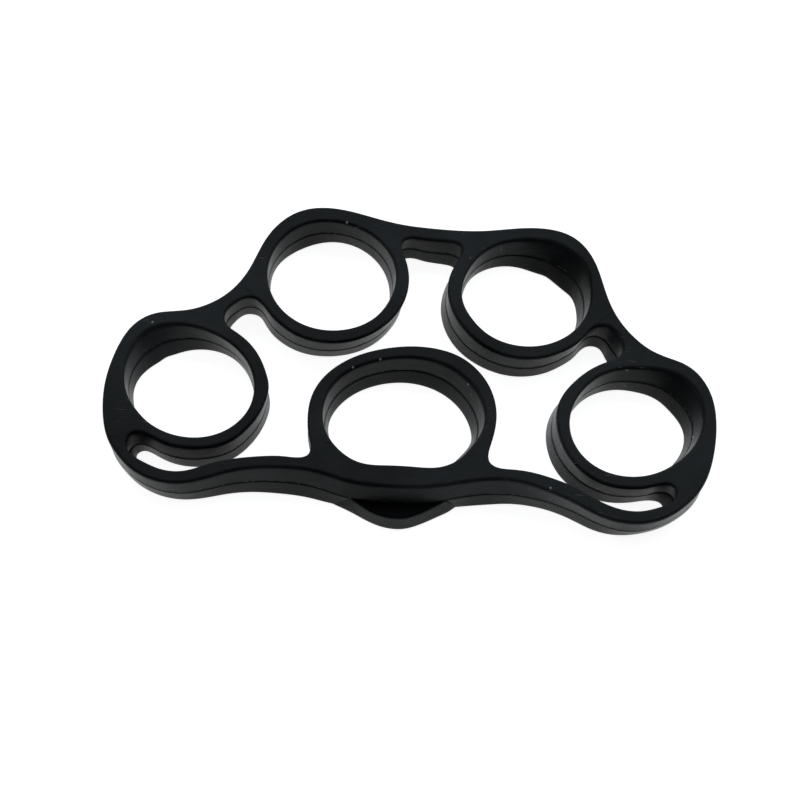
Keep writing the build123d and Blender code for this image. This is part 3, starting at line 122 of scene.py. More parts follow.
OUTER_BASE = [
    (-57.46, -25.77), (-54.86, -28.88), (-51.88, -31.50), (-48.81, -33.21), (-45.53, -34.17), (-42.06, -34.34),
    (-38.20, -33.61), (-33.52, -32.15), (-28.68, -31.24), (-24.03, -31.06), (-18.88, -31.27), (-14.75, -31.95),
    (-9.74, -32.62), (-4.63, -32.47), (1.36, -32.06), (6.83, -31.50), (12.30, -30.39), (17.60, -29.38),
    (21.91, -28.71), (25.80, -28.72), (30.55, -29.58), (35.03, -31.30), (39.24, -33.08), (42.97, -33.63),
    (46.41, -33.21), (49.39, -32.25), (52.00, -31.01), (54.60, -29.07), (57.19, -26.29), (58.86, -23.16),
    (59.70, -19.32), (59.87, -14.57), (59.45, -9.40), (58.58, -5.19), (57.29, -1.94), (55.63, 0.68),
    (53.50, 2.78), (50.48, 4.22), (46.61, 5.55), (43.04, 7.78), (39.80, 11.00), (37.08, 14.97), (34.96, 19.75),
    (33.03, 25.18), (31.24, 28.88), (29.37, 31.51), (27.16, 33.49), (24.26, 34.83), (20.60, 35.35),
    (16.08, 34.99), (10.54, 33.95), (5.23, 33.41), (-0.87, 33.46), (-6.58, 33.88), (-11.95, 35.00),
    (-17.81, 36.52), (-22.34, 37.08), (-26.14, 36.59), (-29.35, 35.04), (-31.93, 32.49), (-33.96, 29.05),
    (-35.45, 24.71), (-36.88, 19.39), (-38.64, 15.20), (-40.92, 11.95), (-43.77, 9.49), (-47.12, 7.86),
    (-51.02, 6.86), (-54.22, 5.47), (-56.41, 3.28), (-57.88, 0.48), (-58.93, -3.12), (-59.79, -7.90),
    (-60.15, -12.85), (-59.87, -17.69), (-58.95, -22.32),
]
OUTER_PAR = [
    0.00000, 0.01238, 0.02483, 0.03607, 0.04698, 0.05786, 0.06976, 0.08442, 0.09950, 0.11404, 0.13008, 0.14370,
    0.15837, 0.17289, 0.19069, 0.20685, 0.22330, 0.23973, 0.25344, 0.26575, 0.28027, 0.29465, 0.30826, 0.31970,
    0.33094, 0.34186, 0.35244, 0.36371, 0.37599, 0.38745, 0.39980, 0.41447, 0.43050, 0.44432, 0.45612, 0.46679,
    0.47677, 0.48710, 0.49868, 0.51037, 0.52316, 0.53657, 0.55139, 0.56886, 0.58231, 0.59338, 0.60340, 0.61348,
    0.62459, 0.63803, 0.65490, 0.67104, 0.68931, 0.70654, 0.72310, 0.74099, 0.75414, 0.76485, 0.77469, 0.78487,
    0.79636, 0.80984, 0.82631, 0.84009, 0.85223, 0.86376, 0.87529, 0.88747, 0.89770, 0.90698, 0.91687, 0.92865,
    0.94366, 0.95893, 0.97386, 0.98830,
]

# edge of the one big inner opening, with the notches and both end slots
INNER_TOP = [
    (-36.72, 2.67), (-33.78, 0.38), (-31.16, -2.84), (-29.23, -6.58), (-28.13, -10.21), (-28.32, -13.88),
    (-29.43, -17.71), (-31.33, -21.32), (-33.64, -23.96), (-36.57, -25.63), (-40.11, -26.51), (-43.84, -26.57),
    (-47.42, -25.77), (-50.22, -24.52), (-52.20, -23.96), (-53.74, -24.50), (-54.43, -25.93), (-54.10, -27.65),
    (-52.68, -29.19), (-50.14, -30.53), (-46.86, -31.77), (-43.84, -32.07), (-41.00, -31.43), (-37.60, -29.72),
    (-33.10, -28.04), (-27.90, -26.86), (-23.00, -26.30), (-20.01, -26.30), (-18.31, -25.60), (-17.97, -23.83),
    (-18.66, -21.33), (-19.52, -17.08), (-19.69, -12.89), (-18.91, -9.09), (-17.18, -5.72), (-14.62, -2.81),
    (-11.28, -0.39), (-7.27, 1.41), (-2.96, 2.57), (1.36, 2.99), (5.45, 2.58), (9.02, 1.39), (12.12, -0.68),
    (14.85, -3.64), (16.91, -7.28), (18.04, -11.19), (18.28, -15.23), (17.84, -19.24), (17.57, -21.81),
    (18.03, -23.61), (19.55, -24.58), (21.89, -24.73), (25.23, -24.85), (29.73, -25.76), (34.23, -27.31),
    (38.57, -29.57), (42.21, -31.22), (45.48, -31.97), (48.64, -31.75), (51.74, -30.56), (53.85, -29.29),
    (54.68, -27.72), (54.37, -26.22), (53.16, -25.39), (51.48, -25.59), (49.39, -26.39), (46.24, -27.05),
    (42.54, -26.98), (39.13, -25.96), (36.16, -24.09), (33.67, -21.52), (31.78, -18.37), (30.45, -14.79),
    (29.79, -11.12), (30.05, -7.69), (31.32, -4.45), (33.48, -1.27), (36.46, 1.65), (39.22, 3.38),
    (40.95, 4.58), (41.64, 6.22), (41.18, 8.20), (39.86, 10.25), (38.21, 11.57), (36.45, 11.65), (35.01, 10.68),
    (33.94, 8.92), (32.37, 6.70), (29.63, 4.44), (26.27, 2.67), (22.72, 1.86), (19.11, 1.99), (15.56, 3.10),
    (12.21, 5.13), (9.30, 7.88), (7.03, 11.08), (5.41, 14.58), (4.59, 18.31), (4.82, 22.17), (5.94, 25.74),
    (6.46, 27.96), (5.75, 29.43), (4.03, 29.97), (1.42, 29.91), (-2.19, 30.01), (-4.59, 29.95), (-5.87, 28.96),
    (-5.78, 27.28), (-4.79, 24.94), (-3.55, 21.07), (-3.20, 17.01), (-3.81, 13.03), (-5.38, 9.41),
    (-7.68, 6.38), (-10.46, 4.07), (-13.66, 2.49), (-17.26, 1.72), (-20.97, 1.88), (-24.51, 3.00),
    (-27.76, 5.02), (-30.60, 7.65), (-32.65, 10.11), (-34.45, 11.33), (-36.34, 11.24), (-38.06, 9.98),
    (-39.45, 8.09), (-39.80, 6.04), (-38.86, 4.22),
]
INNER_MID = [
    (-37.16, 2.01), (-34.40, -0.25), (-31.92, -3.34), (-30.03, -6.92), (-28.87, -10.31), (-28.78, -13.81),
    (-29.63, -17.64), (-31.50, -21.21), (-33.75, -23.83), (-36.59, -25.57), (-40.11, -26.60), (-43.86, -26.76),
    (-47.48, -25.97), (-50.26, -24.66), (-52.16, -24.25), (-53.45, -24.82), (-54.18, -26.02), (-54.29, -27.80),
    (-53.27, -29.93), (-50.79, -31.84), (-47.29, -33.53), (-43.69, -34.08), (-40.23, -33.29), (-36.79, -31.48),
    (-32.58, -29.88), (-27.57, -28.68), (-22.94, -28.12), (-19.64, -27.85), (-17.57, -26.25), (-17.33, -23.85),
    (-18.05, -21.17), (-18.89, -17.00), (-18.92, -12.96), (-18.04, -9.41), (-16.35, -6.30), (-13.88, -3.64),
    (-10.67, -1.44), (-6.84, 0.20), (-2.71, 1.15), (1.36, 1.32), (5.08, 0.75), (8.14, -0.47), (10.66, -2.35),
    (12.98, -5.01), (14.86, -8.19), (16.05, -11.57), (16.49, -15.15), (16.16, -18.98), (15.91, -21.94),
    (16.73, -24.53), (18.98, -26.03), (21.83, -26.27), (25.06, -26.40), (29.35, -27.29), (33.66, -28.67),
    (38.01, -30.70), (41.87, -32.20), (45.41, -32.77), (48.76, -32.30), (51.89, -30.89), (53.86, -29.34),
    (54.47, -27.72), (54.24, -26.22), (53.12, -25.06), (51.27, -24.93), (49.16, -25.72), (46.19, -26.51),
    (42.59, -26.60), (39.20, -25.81), (36.11, -24.15), (33.36, -21.74), (31.08, -18.70), (29.46, -15.05),
    (28.86, -11.16), (29.42, -7.54), (31.02, -4.29), (33.56, -1.34), (36.76, 1.24), (39.54, 2.86),
    (40.81, 4.56), (40.68, 6.21), (39.94, 7.65), (38.77, 9.29), (37.76, 10.62), (36.31, 11.57), (34.23, 11.29),
    (32.70, 9.64), (31.53, 7.47), (29.13, 5.17), (26.05, 3.22), (22.69, 2.18), (19.14, 2.14), (15.52, 3.01),
    (11.95, 4.80), (8.81, 7.46), (6.42, 10.75), (4.86, 14.42), (4.24, 18.28), (4.69, 22.19), (5.84, 25.74),
    (5.98, 27.83), (5.29, 28.89), (3.95, 29.50), (1.43, 29.64), (-2.19, 29.88), (-4.75, 30.19), (-6.84, 29.27),
    (-7.40, 26.92), (-6.56, 24.25), (-5.36, 20.71), (-4.89, 17.06), (-5.26, 13.42), (-6.47, 10.00),
    (-8.47, 7.10), (-11.03, 4.92), (-13.98, 3.37), (-17.32, 2.47), (-20.88, 2.41), (-24.40, 3.24),
    (-27.76, 5.02), (-30.61, 7.62), (-32.51, 10.25), (-34.37, 11.65), (-36.45, 11.56), (-38.25, 10.18),
    (-39.65, 8.19), (-40.06, 5.99), (-39.24, 3.87),
]
INNER_BASE = [
    (-36.63, 2.74), (-33.73, 0.43), (-31.11, -2.81), (-29.23, -6.60), (-28.37, -10.24), (-28.63, -13.84),
    (-29.72, -17.60), (-31.61, -21.13), (-33.87, -23.67), (-36.68, -25.35), (-40.14, -26.33), (-43.82, -26.39),
    (-47.33, -25.48), (-50.01, -24.18), (-51.95, -23.73), (-53.09, -24.71), (-52.88, -25.98), (-52.64, -27.14),
    (-51.95, -28.53), (-49.90, -30.13), (-46.81, -31.66), (-43.79, -32.20), (-40.89, -31.68), (-37.51, -29.90),
    (-33.10, -28.06), (-27.92, -26.71), (-23.04, -26.05), (-20.18, -25.91), (-18.67, -25.23), (-18.16, -23.72),
    (-18.61, -21.29), (-19.84, -17.13), (-20.15, -12.85), (-19.28, -8.96), (-17.48, -5.52), (-14.83, -2.59),
    (-11.39, -0.21), (-7.32, 1.55), (-2.95, 2.52), (1.36, 2.63), (5.31, 1.90), (8.53, 0.40), (11.11, -1.83),
    (13.31, -4.77), (14.96, -8.13), (15.85, -11.60), (15.92, -15.13), (15.44, -18.93), (15.60, -21.89),
    (17.00, -23.88), (19.31, -24.50), (21.92, -24.19), (25.30, -24.34), (29.80, -25.46), (34.29, -27.16),
    (38.68, -29.32), (42.41, -30.48), (45.53, -30.59), (48.16, -29.82), (50.61, -28.44), (51.95, -27.48),
    (52.16, -26.61), (51.89, -26.03), (51.68, -25.59), (50.90, -25.06), (49.00, -24.97), (46.16, -25.67),
    (42.70, -26.23), (39.16, -25.96), (35.70, -24.69), (32.51, -22.42), (29.96, -19.25), (28.26, -15.36),
    (27.49, -11.19), (27.84, -7.16), (29.38, -3.40), (32.16, -0.12), (35.70, 2.58), (38.47, 4.22),
    (39.42, 5.31), (39.28, 6.19), (38.58, 7.12), (37.63, 8.64), (36.81, 10.17), (35.70, 11.11), (34.00, 11.10),
    (32.56, 9.80), (31.21, 7.80), (28.88, 5.55), (25.92, 3.58), (22.66, 2.46), (19.13, 2.17), (15.44, 2.84),
    (11.71, 4.46), (8.26, 6.97), (5.54, 10.25), (3.71, 14.07), (2.85, 18.20), (3.03, 22.47), (4.02, 26.17),
    (4.57, 27.79), (4.42, 28.45), (3.63, 28.90), (1.39, 29.21), (-2.26, 29.66), (-4.92, 30.11), (-6.80, 29.15),
    (-7.17, 27.03), (-6.38, 24.36), (-5.32, 20.71), (-5.08, 17.07), (-5.81, 13.57), (-7.27, 10.42),
    (-9.21, 7.74), (-11.55, 5.70), (-14.29, 4.30), (-17.40, 3.45), (-20.75, 3.20), (-24.18, 3.71),
    (-27.60, 5.20), (-30.66, 7.59), (-32.60, 10.16), (-34.25, 11.99), (-36.71, 12.14), (-38.50, 10.38),
    (-39.50, 8.16), (-39.60, 6.07), (-38.66, 4.31),
]
INNER_PAR = [
    0.00000, 0.00878, 0.01853, 0.02849, 0.03735, 0.04592, 0.05536, 0.06503, 0.07330, 0.08126, 0.08992, 0.09875,
    0.10743, 0.11476, 0.11996, 0.12437, 0.12868, 0.13335, 0.13882, 0.14602, 0.15476, 0.16260, 0.17008, 0.17928,
    0.19057, 0.20322, 0.21480, 0.22226, 0.22740, 0.23235, 0.23883, 0.24906, 0.25883, 0.26776, 0.27646, 0.28541,
    0.29499, 0.30527, 0.31575, 0.32591, 0.33547, 0.34416, 0.35274, 0.36210, 0.37186, 0.38136, 0.39085, 0.40038,
    0.40687, 0.41197, 0.41703, 0.42309, 0.43100, 0.44177, 0.45299, 0.46464, 0.47435, 0.48265, 0.49056, 0.49873,
    0.50502, 0.50983, 0.51406, 0.51816, 0.52252, 0.52791, 0.53552, 0.54430, 0.55270, 0.56101, 0.56951, 0.57820,
    0.58726, 0.59604, 0.60408, 0.61217, 0.62117, 0.63092, 0.63863, 0.64399, 0.64877, 0.65399, 0.65997, 0.66537,
    0.67003, 0.67457, 0.67962, 0.68605, 0.69447, 0.70349, 0.71209, 0.72063, 0.72945, 0.73875, 0.74824, 0.75753,
    0.76660, 0.77547, 0.78442, 0.79319, 0.79908, 0.80370, 0.80843, 0.81477, 0.82336, 0.82938, 0.83400, 0.83865,
    0.84491, 0.85443, 0.86395, 0.87334, 0.88258, 0.89153, 0.90005, 0.90849, 0.91720, 0.92600, 0.93480, 0.94388,
    0.95306, 0.96079, 0.96636, 0.97134, 0.97671, 0.98257, 0.98800, 0.99341,
]

# finger hole 1 (far left)
HOLE_1_TOP = [
    (-41.29, 1.58), (-44.33, 2.65), (-47.54, 3.18), (-50.54, 3.06), (-53.09, 2.27), (-55.11, 0.83),
    (-56.60, -1.28), (-57.57, -4.03), (-57.97, -7.23), (-57.76, -10.40), (-56.94, -13.46), (-55.48, -16.27),
    (-53.49, -18.74), (-51.16, -20.93), (-48.39, -22.57), (-45.35, -23.57), (-42.21, -23.87), (-39.20, -23.43),
    (-36.53, -22.28), (-34.25, -20.48), (-32.48, -18.09), (-31.40, -15.37), (-31.07, -12.53), (-31.39, -9.63),
    (-32.39, -6.69), (-34.04, -3.94), (-36.15, -1.66), (-38.57, 0.15),
]
HOLE_1_MID = [
    (-41.20, 1.77), (-44.35, 2.53), (-47.57, 2.52), (-50.32, 1.81), (-52.35, 0.79), (-53.84, -0.44),
    (-55.12, -2.04), (-56.28, -4.33), (-57.10, -7.26), (-57.19, -10.32), (-56.55, -13.31), (-55.28, -16.14),
    (-53.45, -18.70), (-51.14, -20.90), (-48.41, -22.61), (-45.37, -23.70), (-42.20, -24.07), (-39.14, -23.64),
    (-36.44, -22.43), (-34.21, -20.51), (-32.53, -18.06), (-31.51, -15.34), (-31.18, -12.53), (-31.51, -9.66),
    (-32.44, -6.71), (-33.96, -3.87), (-35.96, -1.44), (-38.38, 0.45),
]
HOLE_1_BASE = [
    (-41.06, 2.04), (-44.32, 2.25), (-47.40, 1.55), (-49.73, 0.42), (-51.32, -0.47), (-52.35, -1.57),
    (-53.62, -2.84), (-55.12, -4.70), (-56.24, -7.32), (-56.39, -10.23), (-55.74, -13.06), (-54.68, -15.80),
    (-53.05, -18.34), (-50.82, -20.46), (-48.16, -22.03), (-45.23, -22.95), (-42.22, -23.19), (-39.40, -22.75),
    (-36.89, -21.67), (-34.75, -19.97), (-33.05, -17.75), (-31.91, -15.21), (-31.41, -12.51), (-31.60, -9.65),
    (-32.40, -6.64), (-33.72, -3.65), (-35.63, -1.06), (-38.09, 0.91),
]
HOLE_1_PAR = [
    0.00000, 0.03747, 0.07557, 0.11101, 0.14257, 0.17228, 0.20286, 0.23715, 0.27486, 0.31220, 0.34924, 0.38665,
    0.42446, 0.46252, 0.50048, 0.53818, 0.57520, 0.61077, 0.64500, 0.67923, 0.71414, 0.74878, 0.78288, 0.81784,
    0.85476, 0.89250, 0.92882, 0.96410,
]

# finger hole 2
HOLE_2_TOP = [
    (-31.41, 13.74), (-29.79, 10.97), (-27.65, 8.61), (-25.14, 6.82), (-22.40, 5.64), (-19.49, 5.11),
    (-16.51, 5.25), (-13.67, 6.05), (-11.12, 7.49), (-8.99, 9.61), (-7.48, 12.29), (-6.56, 15.22),
    (-6.18, 18.22), (-6.47, 21.27), (-7.51, 24.24), (-9.24, 26.95), (-11.52, 29.24), (-14.15, 30.98),
    (-16.98, 32.14), (-19.91, 32.74), (-22.86, 32.74), (-25.62, 32.08), (-28.04, 30.74), (-30.06, 28.75),
    (-31.60, 26.19), (-32.56, 23.22), (-32.87, 20.01), (-32.48, 16.79),
]
HOLE_2_MID = [
    (-31.69, 13.62), (-30.10, 10.74), (-27.97, 8.25), (-25.43, 6.31), (-22.57, 5.05), (-19.52, 4.53),
    (-16.43, 4.77), (-13.56, 5.77), (-11.10, 7.46), (-9.17, 9.74), (-7.81, 12.44), (-7.07, 15.33),
    (-6.92, 18.21), (-7.27, 21.07), (-8.19, 23.90), (-9.69, 26.59), (-11.74, 28.96), (-14.27, 30.76),
    (-17.05, 31.94), (-19.94, 32.52), (-22.82, 32.49), (-25.51, 31.80), (-27.83, 30.47), (-29.79, 28.54),
    (-31.40, 26.10), (-32.50, 23.21), (-32.93, 20.01), (-32.65, 16.75),
]
HOLE_2_BASE = [
    (-31.33, 13.78), (-29.77, 10.98), (-27.65, 8.61), (-25.14, 6.83), (-22.39, 5.75), (-19.48, 5.39),
    (-16.60, 5.73), (-13.98, 6.72), (-11.75, 8.29), (-9.99, 10.38), (-8.71, 12.87), (-8.01, 15.53),
    (-7.87, 18.20), (-8.13, 20.87), (-8.86, 23.60), (-10.15, 26.28), (-12.00, 28.71), (-14.34, 30.70),
    (-17.02, 32.08), (-19.92, 32.70), (-22.80, 32.47), (-25.39, 31.55), (-27.64, 30.23), (-29.76, 28.52),
    (-31.62, 26.19), (-32.69, 23.25), (-32.78, 20.01), (-32.29, 16.83),
]
HOLE_2_PAR = [
    0.00000, 0.03776, 0.07509, 0.11123, 0.14625, 0.18100, 0.21577, 0.25016, 0.28433, 0.31922, 0.35520, 0.39145,
    0.42729, 0.46333, 0.50016, 0.53760, 0.57514, 0.61188, 0.64746, 0.68223, 0.71646, 0.74974, 0.78220, 0.81542,
    0.85032, 0.88669, 0.92431, 0.96225,
]

# finger hole 3
HOLE_3_TOP = [
    (7.79, 19.86), (7.87, 16.79), (8.68, 14.12), (10.18, 11.60), (12.28, 9.08), (14.57, 7.20), (17.14, 5.94),
    (20.03, 5.27), (23.04, 5.28), (25.94, 6.00), (28.56, 7.38), (30.81, 9.40), (32.54, 11.99), (33.64, 14.92),
    (34.05, 18.12), (33.81, 21.67), (33.10, 24.82), (31.75, 27.30), (29.63, 29.43), (27.09, 31.15),
    (24.50, 32.07), (21.70, 32.24), (18.38, 31.91), (15.30, 31.02), (12.84, 29.63), (10.94, 27.84),
    (9.47, 25.62), (8.38, 22.95),
]
HOLE_3_MID = [
    (6.91, 19.93), (6.71, 16.64), (7.33, 13.56), (8.95, 10.69), (11.24, 8.03), (13.84, 6.06), (16.79, 4.88),
    (19.96, 4.47), (23.10, 4.84), (25.95, 5.93), (28.36, 7.64), (30.29, 9.85), (31.73, 12.42), (32.57, 15.19),
    (32.74, 18.14), (32.19, 21.44), (31.12, 24.08), (29.81, 25.81), (28.01, 27.47), (25.94, 28.94),
    (24.07, 29.96), (21.73, 30.60), (18.57, 30.85), (15.52, 30.48), (12.97, 29.45), (10.90, 27.86),
    (9.19, 25.77), (7.81, 23.12),
]
HOLE_3_BASE = [
    (7.09, 19.93), (7.22, 16.71), (7.99, 13.85), (9.67, 11.23), (11.94, 8.76), (14.43, 7.05), (17.18, 6.13),
    (20.07, 5.90), (22.86, 6.36), (25.35, 7.40), (27.39, 8.96), (29.02, 10.93), (30.24, 13.19), (30.92, 15.61),
    (30.93, 18.19), (30.33, 21.15), (29.26, 23.35), (28.04, 24.51), (26.49, 25.80), (24.75, 27.29),
    (23.32, 28.25), (21.48, 28.80), (18.59, 29.69), (15.58, 29.99), (12.88, 29.44), (10.48, 28.20),
    (8.46, 26.17), (7.34, 23.27),
]
HOLE_3_PAR = [
    0.00000, 0.03648, 0.07012, 0.10561, 0.14451, 0.17997, 0.21441, 0.24979, 0.28549, 0.32077, 0.35586, 0.39162,
    0.42832, 0.46522, 0.50333, 0.54525, 0.58350, 0.61722, 0.65281, 0.68920, 0.72200, 0.75532, 0.79448, 0.83240,
    0.86588, 0.89702, 0.92856, 0.96271,
]

# finger hole 4 (far right)
HOLE_4_TOP = [
    (32.66, -12.25), (33.10, -14.96), (34.14, -17.57), (35.74, -19.92), (37.80, -21.83), (40.25, -23.22),
    (43.08, -24.00), (46.13, -24.08), (49.17, -23.38), (51.96, -21.91), (54.35, -19.85), (56.40, -17.40),
    (57.93, -14.57), (58.79, -11.44), (58.92, -8.31), (58.33, -5.33), (57.06, -2.68), (55.23, -0.49),
    (53.00, 1.05), (50.53, 1.86), (47.75, 2.05), (44.30, 1.80), (41.05, 1.14), (38.57, -0.06), (36.56, -1.79),
    (34.85, -4.05), (33.55, -6.70), (32.81, -9.49),
]
HOLE_4_MID = [
    (31.66, -12.30), (32.22, -15.21), (33.47, -17.93), (35.32, -20.28), (37.61, -22.09), (40.24, -23.26),
    (43.11, -23.72), (46.07, -23.49), (48.90, -22.59), (51.44, -21.09), (53.59, -19.09), (55.27, -16.68),
    (56.40, -13.99), (56.91, -11.18), (56.74, -8.48), (55.98, -6.12), (54.80, -4.13), (53.39, -2.49),
    (51.89, -1.16), (50.16, -0.05), (47.75, 0.75), (44.39, 1.08), (41.14, 0.83), (38.55, -0.04), (36.31, -1.57),
    (34.33, -3.71), (32.78, -6.40), (31.86, -9.33),
]
HOLE_4_BASE = [
    (30.90, -12.32), (31.70, -15.33), (33.26, -18.00), (35.41, -20.13), (37.91, -21.58), (40.57, -22.26),
    (43.25, -22.26), (45.85, -21.72), (48.22, -20.72), (50.28, -19.31), (52.02, -17.54), (53.42, -15.51),
    (54.46, -13.28), (54.97, -10.91), (54.85, -8.64), (54.19, -6.70), (53.18, -5.03), (52.00, -3.57),
    (50.80, -2.28), (49.53, -1.12), (47.58, 0.01), (44.35, 0.81), (41.00, 0.96), (38.20, 0.31), (35.69, -1.04),
    (33.51, -3.21), (31.93, -6.07), (31.01, -9.18),
]
HOLE_4_PAR = [
    0.00000, 0.03347, 0.06761, 0.10207, 0.13623, 0.17047, 0.20580, 0.24251, 0.27995, 0.31781, 0.35618, 0.39498,
    0.43407, 0.47301, 0.51090, 0.54741, 0.58297, 0.61742, 0.65024, 0.68185, 0.71531, 0.75647, 0.79630, 0.82959,
    0.86167, 0.89563, 0.93129, 0.96632,
]

# D-shaped thumb hole
THUMB_TOP = [
    (-16.50, -15.72), (-15.79, -18.44), (-14.45, -21.01), (-12.60, -23.19), (-10.54, -24.87), (-8.35, -25.99),
    (-5.93, -26.49), (-2.88, -26.41), (1.25, -26.17), (4.92, -26.13), (7.48, -25.87), (9.65, -25.06),
    (11.63, -23.58), (13.34, -21.13), (14.90, -18.06), (15.70, -15.37), (15.71, -12.79), (15.05, -10.18),
    (13.76, -7.58), (11.88, -5.15), (9.53, -3.10), (6.87, -1.56), (3.97, -0.60), (0.90, -0.22), (-2.23, -0.39),
    (-5.34, -1.06), (-8.39, -2.20), (-11.19, -3.75), (-13.45, -5.64), (-15.09, -7.83), (-16.14, -10.30),
    (-16.61, -12.97),
]
THUMB_MID = [
    (-16.44, -15.71), (-15.90, -18.49), (-14.74, -21.20), (-13.05, -23.62), (-11.00, -25.54), (-8.68, -26.85),
    (-6.02, -27.45), (-2.81, -27.33), (1.28, -27.06), (4.97, -26.93), (7.62, -26.38), (9.71, -25.17),
    (11.35, -23.35), (12.75, -20.79), (14.08, -17.72), (14.54, -15.21), (14.33, -12.96), (13.65, -10.70),
    (12.47, -8.39), (10.82, -6.15), (8.79, -4.13), (6.46, -2.49), (3.80, -1.35), (0.88, -0.74), (-2.18, -0.76),
    (-5.25, -1.37), (-8.25, -2.50), (-10.97, -4.06), (-13.13, -5.94), (-14.69, -8.06), (-15.76, -10.42),
    (-16.36, -13.00),
]
THUMB_BASE = [
    (-15.63, -15.57), (-14.67, -18.00), (-13.32, -20.28), (-11.60, -22.22), (-9.68, -23.57), (-7.74, -24.28),
    (-5.73, -24.39), (-3.01, -24.08), (1.18, -23.82), (4.71, -23.66), (6.63, -23.15), (7.85, -22.30),
    (8.89, -21.15), (10.29, -19.32), (12.02, -16.89), (12.75, -14.95), (12.65, -13.15), (12.09, -11.24),
    (11.12, -9.20), (9.71, -7.15), (7.90, -5.31), (5.81, -3.81), (3.44, -2.69), (0.79, -2.00), (-2.08, -1.82),
    (-5.02, -2.22), (-7.93, -3.20), (-10.55, -4.68), (-12.60, -6.45), (-14.12, -8.40), (-15.23, -10.57),
    (-15.84, -13.02),
]
THUMB_PAR = [
    0.00000, 0.02994, 0.06077, 0.09136, 0.12017, 0.14730, 0.17492, 0.20795, 0.25084, 0.28938, 0.31749, 0.34307,
    0.36968, 0.40132, 0.43747, 0.46743, 0.49507, 0.52378, 0.55461, 0.58718, 0.62019, 0.65276, 0.68518, 0.71794,
    0.75106, 0.78469, 0.81899, 0.85279, 0.88413, 0.91334, 0.94197, 0.97080,
]

OUTLINE = {
    "OUTER": (OUTER_BASE, OUTER_MID, OUTER_TOP, OUTER_PAR, 1.0),
    "INNER": (INNER_BASE, INNER_MID, INNER_TOP, INNER_PAR, -1.0),
    "HOLE_1": (HOLE_1_BASE, HOLE_1_MID, HOLE_1_TOP, HOLE_1_PAR, -1.0),
    "HOLE_2": (HOLE_2_BASE, HOLE_2_MID, HOLE_2_TOP, HOLE_2_PAR, -1.0),
    "HOLE_3": (HOLE_3_BASE, HOLE_3_MID, HOLE_3_TOP, HOLE_3_PAR, -1.0),
    "HOLE_4": (HOLE_4_BASE, HOLE_4_MID, HOLE_4_TOP, HOLE_4_PAR, -1.0),
    "THUMB": (THUMB_BASE, THUMB_MID, THUMB_TOP, THUMB_PAR, -1.0),
}


class Loop:
    """Periodic cubic through points; place and direction at any parameter."""

    def __init__(self, points, params):
        self.p = np.array(points, float)
        self.u = np.append(np.array(params, float), 1.0)
        n = len(self.p)
        h = np.diff(self.u)
        self.h = h
        a = np.zeros((n, n))
        rhs = np.zeros((n, 2))
        for i in range(n):
            hm, hp = h[i - 1], h[i]
            a[i, i] += 2 * (hm + hp)
            a[i, (i - 1) % n] += hp
            a[i, (i + 1) % n] += hm
            rhs[i] = 3 * ((self.p[(i + 1) % n] - self.p[i]) * hm / hp + (self.p[i] - self.p[i - 1]) * hp / hm)
        self.m = np.linalg.solve(a, rhs)

    def _cell(self, u):
        u = np.mod(np.asarray(u, float), 1.0)
        i = np.clip(np.searchsorted(self.u, u, side="right") - 1, 0, len(self.p) - 1)
        return i, (i + 1) % len(self.p), (u - self.u[i]) / self.h[i], self.h[i]

    def at(self, u):
        i, j, t, h = self._cell(u)
        t, h = t[..., None], h[..., None]
        return ((1 + 2 * t) * (1 - t) ** 2 * self.p[i] + t * (1 - t) ** 2 * h * self.m[i]
                + t * t * (3 - 2 * t) * self.p[j] + t * t * (t - 1) * h * self.m[j])

    def normal(self, u, e=2e-4):
        d = self.at(np.asarray(u) + e) - self.at(np.asarray(u) - e)
        d /= np.linalg.norm(d, axis=-1, keepdims=True)
        return np.stack([d[..., 1], -d[..., 0]], -1)


CURVE = {name: [Loop(level, data[3]) for level in data[:3]] for name, data in OUTLINE.items()}
LENGTH = {}
for name, loops in CURVE.items():
    q = loops[2].at(np.linspace(0, 1, 2001)[:-1])
    LENGTH[name] = float(np.linalg.norm(q - np.roll(q, -1, 0), axis=1).sum())


def side_of(cut):
    if cut[:2] in ARM_AXIS:
        (ax, ay), (bx, by) = ARM_AXIS[cut[:2]]
        ln = math.hypot(bx - ax, by - ay)
        nx, ny = (by - ay) / ln, -(bx - ax) / ln
        return lambda q: (q[..., 0] - ax) * nx + (q[..., 1] - ay) * ny
    (px, py), (dx, dy) = CUT[cut]
    return lambda q: (q[..., 0] - px) * dy - (q[..., 1] - py) * dx


def crossing(name, cut, level):
    loop, f = CURVE[name][level], side_of(cut)
    u = np.linspace(0, 1, 4001)
    v = f(loop.at(u))
    best, found = 1e9, 0.0
    for i in np.nonzero(v[:-1] * v[1:] <= 0)[0]:
        lo, hi = u[i], u[i + 1]
        for _ in range(40):
            mid = (lo + hi) / 2
            if f(loop.at(lo)) * f(loop.at(mid)) <= 0:
                hi = mid
            else:
                lo = mid
        q = loop.at(lo)
        gap = math.hypot(q[0] - STATION[name][cut][0], q[1] - STATION[name][cut][1])
        if gap < best:
            best, found = gap, float(lo)
    return found


def ragged(name, u):
    """Uneven height of the parting flash along an outline, 0 to 1."""
    seed = sum(ord(c) for c in name)
    rng = np.random.default_rng(seed)
    n = LENGTH[name]
    out = np.full(np.shape(u), 0.42)
    for k, amp in ((3, 0.16), (7, 0.14), (19, 0.12), (43, 0.10), (97, 0.10), (211, 0.09)):
        f = max(1, int(round(k * n / 120)))
        out = out + amp * np.sin(2 * np.pi * (f * np.asarray(u) + rng.random()))
    return np.clip(out, 0.05, 1.0)


TOP_OUT, BASE_OUT = 0.0, 0.0


